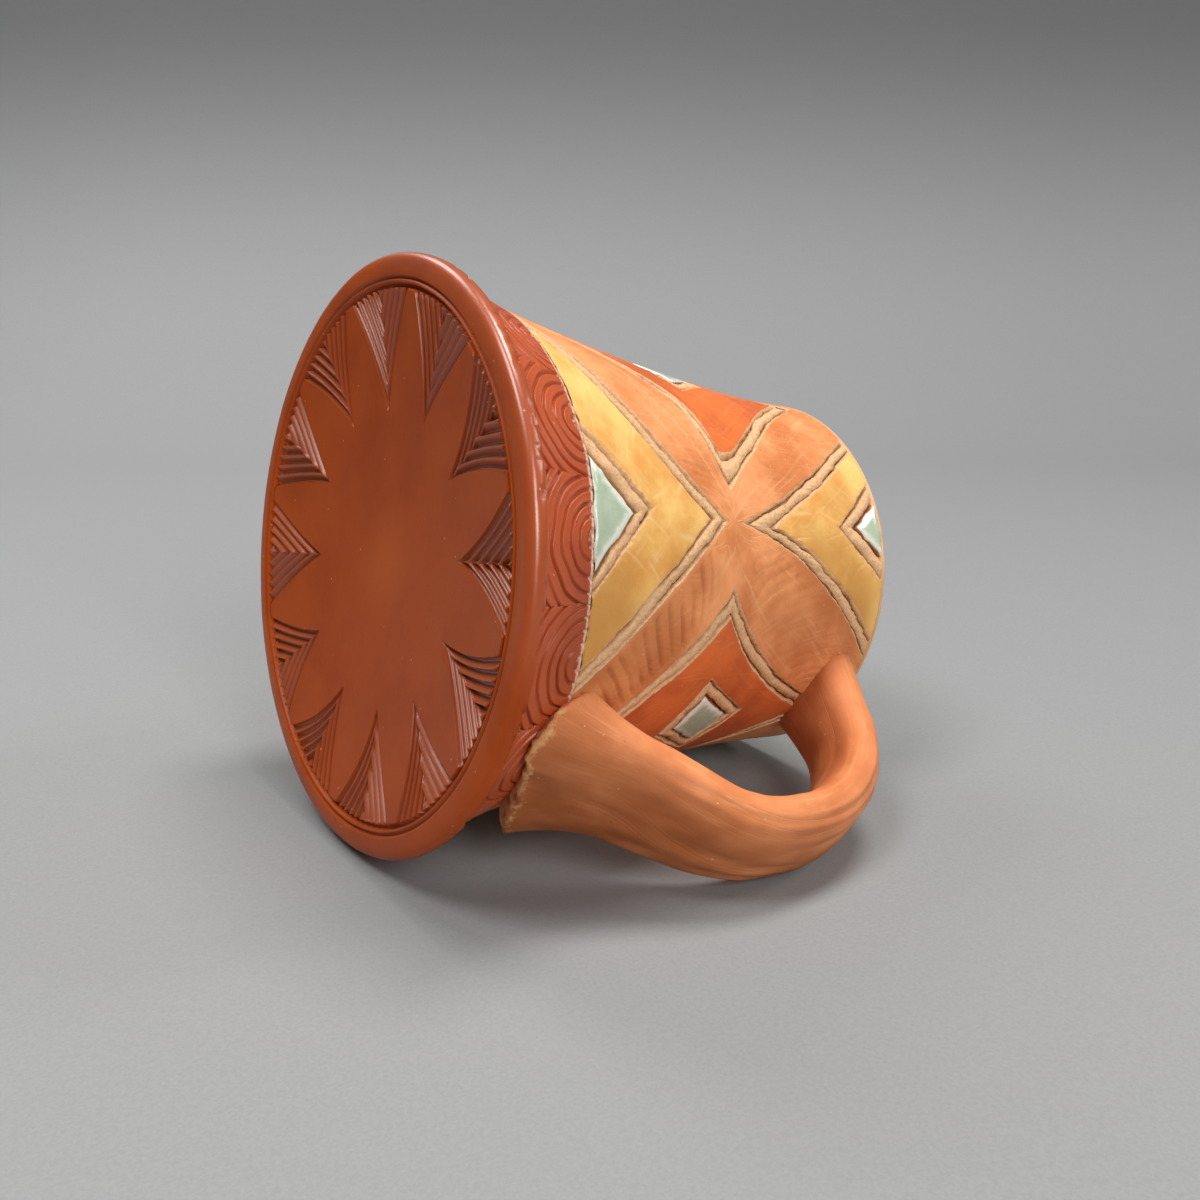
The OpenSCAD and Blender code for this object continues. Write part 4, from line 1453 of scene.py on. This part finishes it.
# A sweep of pale paper: the mug lies on it on its side
stage = {
    "up": (-0.5278, -0.8309, -0.1760),
    "wide": 1600, "front": 700, "back": 420, "bend": 260, "rise": 700,
    "columns": 8, "floorSteps": 10, "bendSteps": 16,
    "drop": 0.05,          # how far the paper lies under the mug
    "aim": 50,             # height over the paper that the lamps point to
    # the paper is painted darker towards its far, upper part and lighter on the left than on the right: painted
    # shade
    "paper": (0.325, 0.332, 0.339), "far": (0.152, 0.158, 0.158), "farShadeRamp": (60, 320),
    "left": 1.06, "right": 0.86, "sideShadeWidth": 320,
    "fleckScale": 1500, "fleck": (0.3, 0.75), "fleckShare": 0.1,
    "rough": 0.9, "gloss": 0.2,
}
stageUp = Vector(stage["up"]).normalized()
lookDir = Vector(camera["up"]).cross(Vector(camera["right"]))
stageBack = (lookDir - stageUp * lookDir.dot(stageUp)).normalized()
stageSide = stageBack.cross(stageUp)
restDepth = min(stageUp.dot(v.co) for piece in pieces for v in piece.data.vertices) / mm
objectMiddle = (cadBox[0] + cadBox[1]) / 2 / mm
objectMiddle -= stageUp * (objectMiddle.dot(stageUp) - restDepth)


def paperMaterial():
    material, n, shader = newMaterial("greyPaper")
    fleck = n.ramp(n.noise(n.place(), stage["fleckScale"], 3, 0.7), *stage["fleck"])
    # painted shade: darker far up the sweep, and darker from left to right
    tone = n.mix(n.ramp(n.attribute("rise"), *stage["farShadeRamp"]), stage["paper"], stage["far"])
    sideShadeAndFleck = n.add("MapRange", i0=n.attribute("side"), i1=-stage["sideShadeWidth"], i2=stage["sideShadeWidth"],
                 i3=stage["left"], i4=stage["right"]).outputs[0]
    sideShadeAndFleck = n.times(sideShadeAndFleck, n.fit(fleck, -stage["fleckShare"], 1 + stage["fleckShare"] / 2))
    n.link(n.vector("SCALE", i0=tone, Scale=sideShadeAndFleck)[0], shader.inputs["Base Color"])
    shader.inputs["Roughness"].default_value = stage["rough"]
    shader.inputs["Specular IOR Level"].default_value = stage["gloss"]
    seen = n.add("MixShader", i0=n.add("NewGeometry").outputs["Backfacing"], i1=shader.outputs[0],
                 i2=n.add("BsdfTransparent").outputs[0])
    n.link(seen.outputs[0], n.tree.nodes["Material Output"].inputs["Surface"])
    return material


def makePaper():
    bm = startMesh(("rise", "side"))
    front, back, bend, steps = stage["front"], stage["back"], stage["bend"], stage["floorSteps"]
    path = [(-front + (front + back) * k / steps, 0) for k in range(steps + 1)]
    for k in range(1, stage["bendSteps"] + 1):
        swing = math.pi / 2 * k / stage["bendSteps"]
        path.append((back + bend * math.sin(swing), bend * (1 - math.cos(swing))))
    path.append((back + bend, bend + stage["rise"]))
    rise, side = (bm.verts.layers.float[name] for name in ("rise", "side"))
    for v, i, j in gridVerts(bm, stage["columns"] + 1, len(path)):
        depth, high = path[j]
        v[rise] = high
        v[side] = v.co.x * stage["wide"] / 2
        place = objectMiddle + stageSide * v.co.x * stage["wide"] / 2 + stageBack * depth
        v.co = (place + stageUp * (high - stage["drop"])) * mm
    bm.normal_update()
    if sum(f.normal.dot(stageUp) for f in bm.faces) < 0:
        bmesh.ops.reverse_faces(bm, faces=bm.faces[:])
    meshObject(bm, "paperSweep", paperMaterial())


makePaper()

# Soft lamps: place as (side, up, back) from the mug and size, in millimetres, power in watts, colour
lamps = {
    "keyLamp": ((240, 1150, 150), 420, 8.2, (1.0, 0.975, 0.94)),
    "sideLamp": ((1030, 606, 121), 340, 2.4, (1.0, 0.98, 0.95)),
    "frontLamp": ((480, 560, -940), 500, 6.6, (1.0, 0.98, 0.95)),
    "topLamp": ((-434, 1055, -372), 450, 6.0, (1.0, 0.99, 0.97)),
    "backLamp": ((-495, 825, 528), 450, 3.0, (1.0, 0.99, 0.97)),
}
lampTarget = objectMiddle + stageUp * stage["aim"]


def makeLamp(name, offset, size, power, color):
    data = bpy.data.lights.new(name, "AREA")
    data.shape = "DISK"
    data.size = size * mm
    data.energy = power
    data.color = color
    place = lampTarget + stageSide * offset[0] + stageUp * offset[1] + stageBack * offset[2]
    aim = (lampTarget - place).to_track_quat("-Z", "Y").to_matrix().to_4x4()
    addObject(name, data).matrix_world = Matrix.Translation(place * mm) @ aim


for lampName, lampValues in lamps.items():
    makeLamp(lampName, *lampValues)

roomLight = {"color": (0.55, 0.56, 0.57), "strength": 0.17}


def makeWorld():
    world = bpy.data.worlds.new("studio")
    world.use_nodes = True
    background = world.node_tree.nodes["Background"]
    background.inputs["Color"].default_value = (*roomLight["color"], 1)
    background.inputs["Strength"].default_value = roomLight["strength"]
    bpy.context.scene.world = world


makeWorld()
bpy.context.scene.view_settings.view_transform = "Standard"

print("stage set")
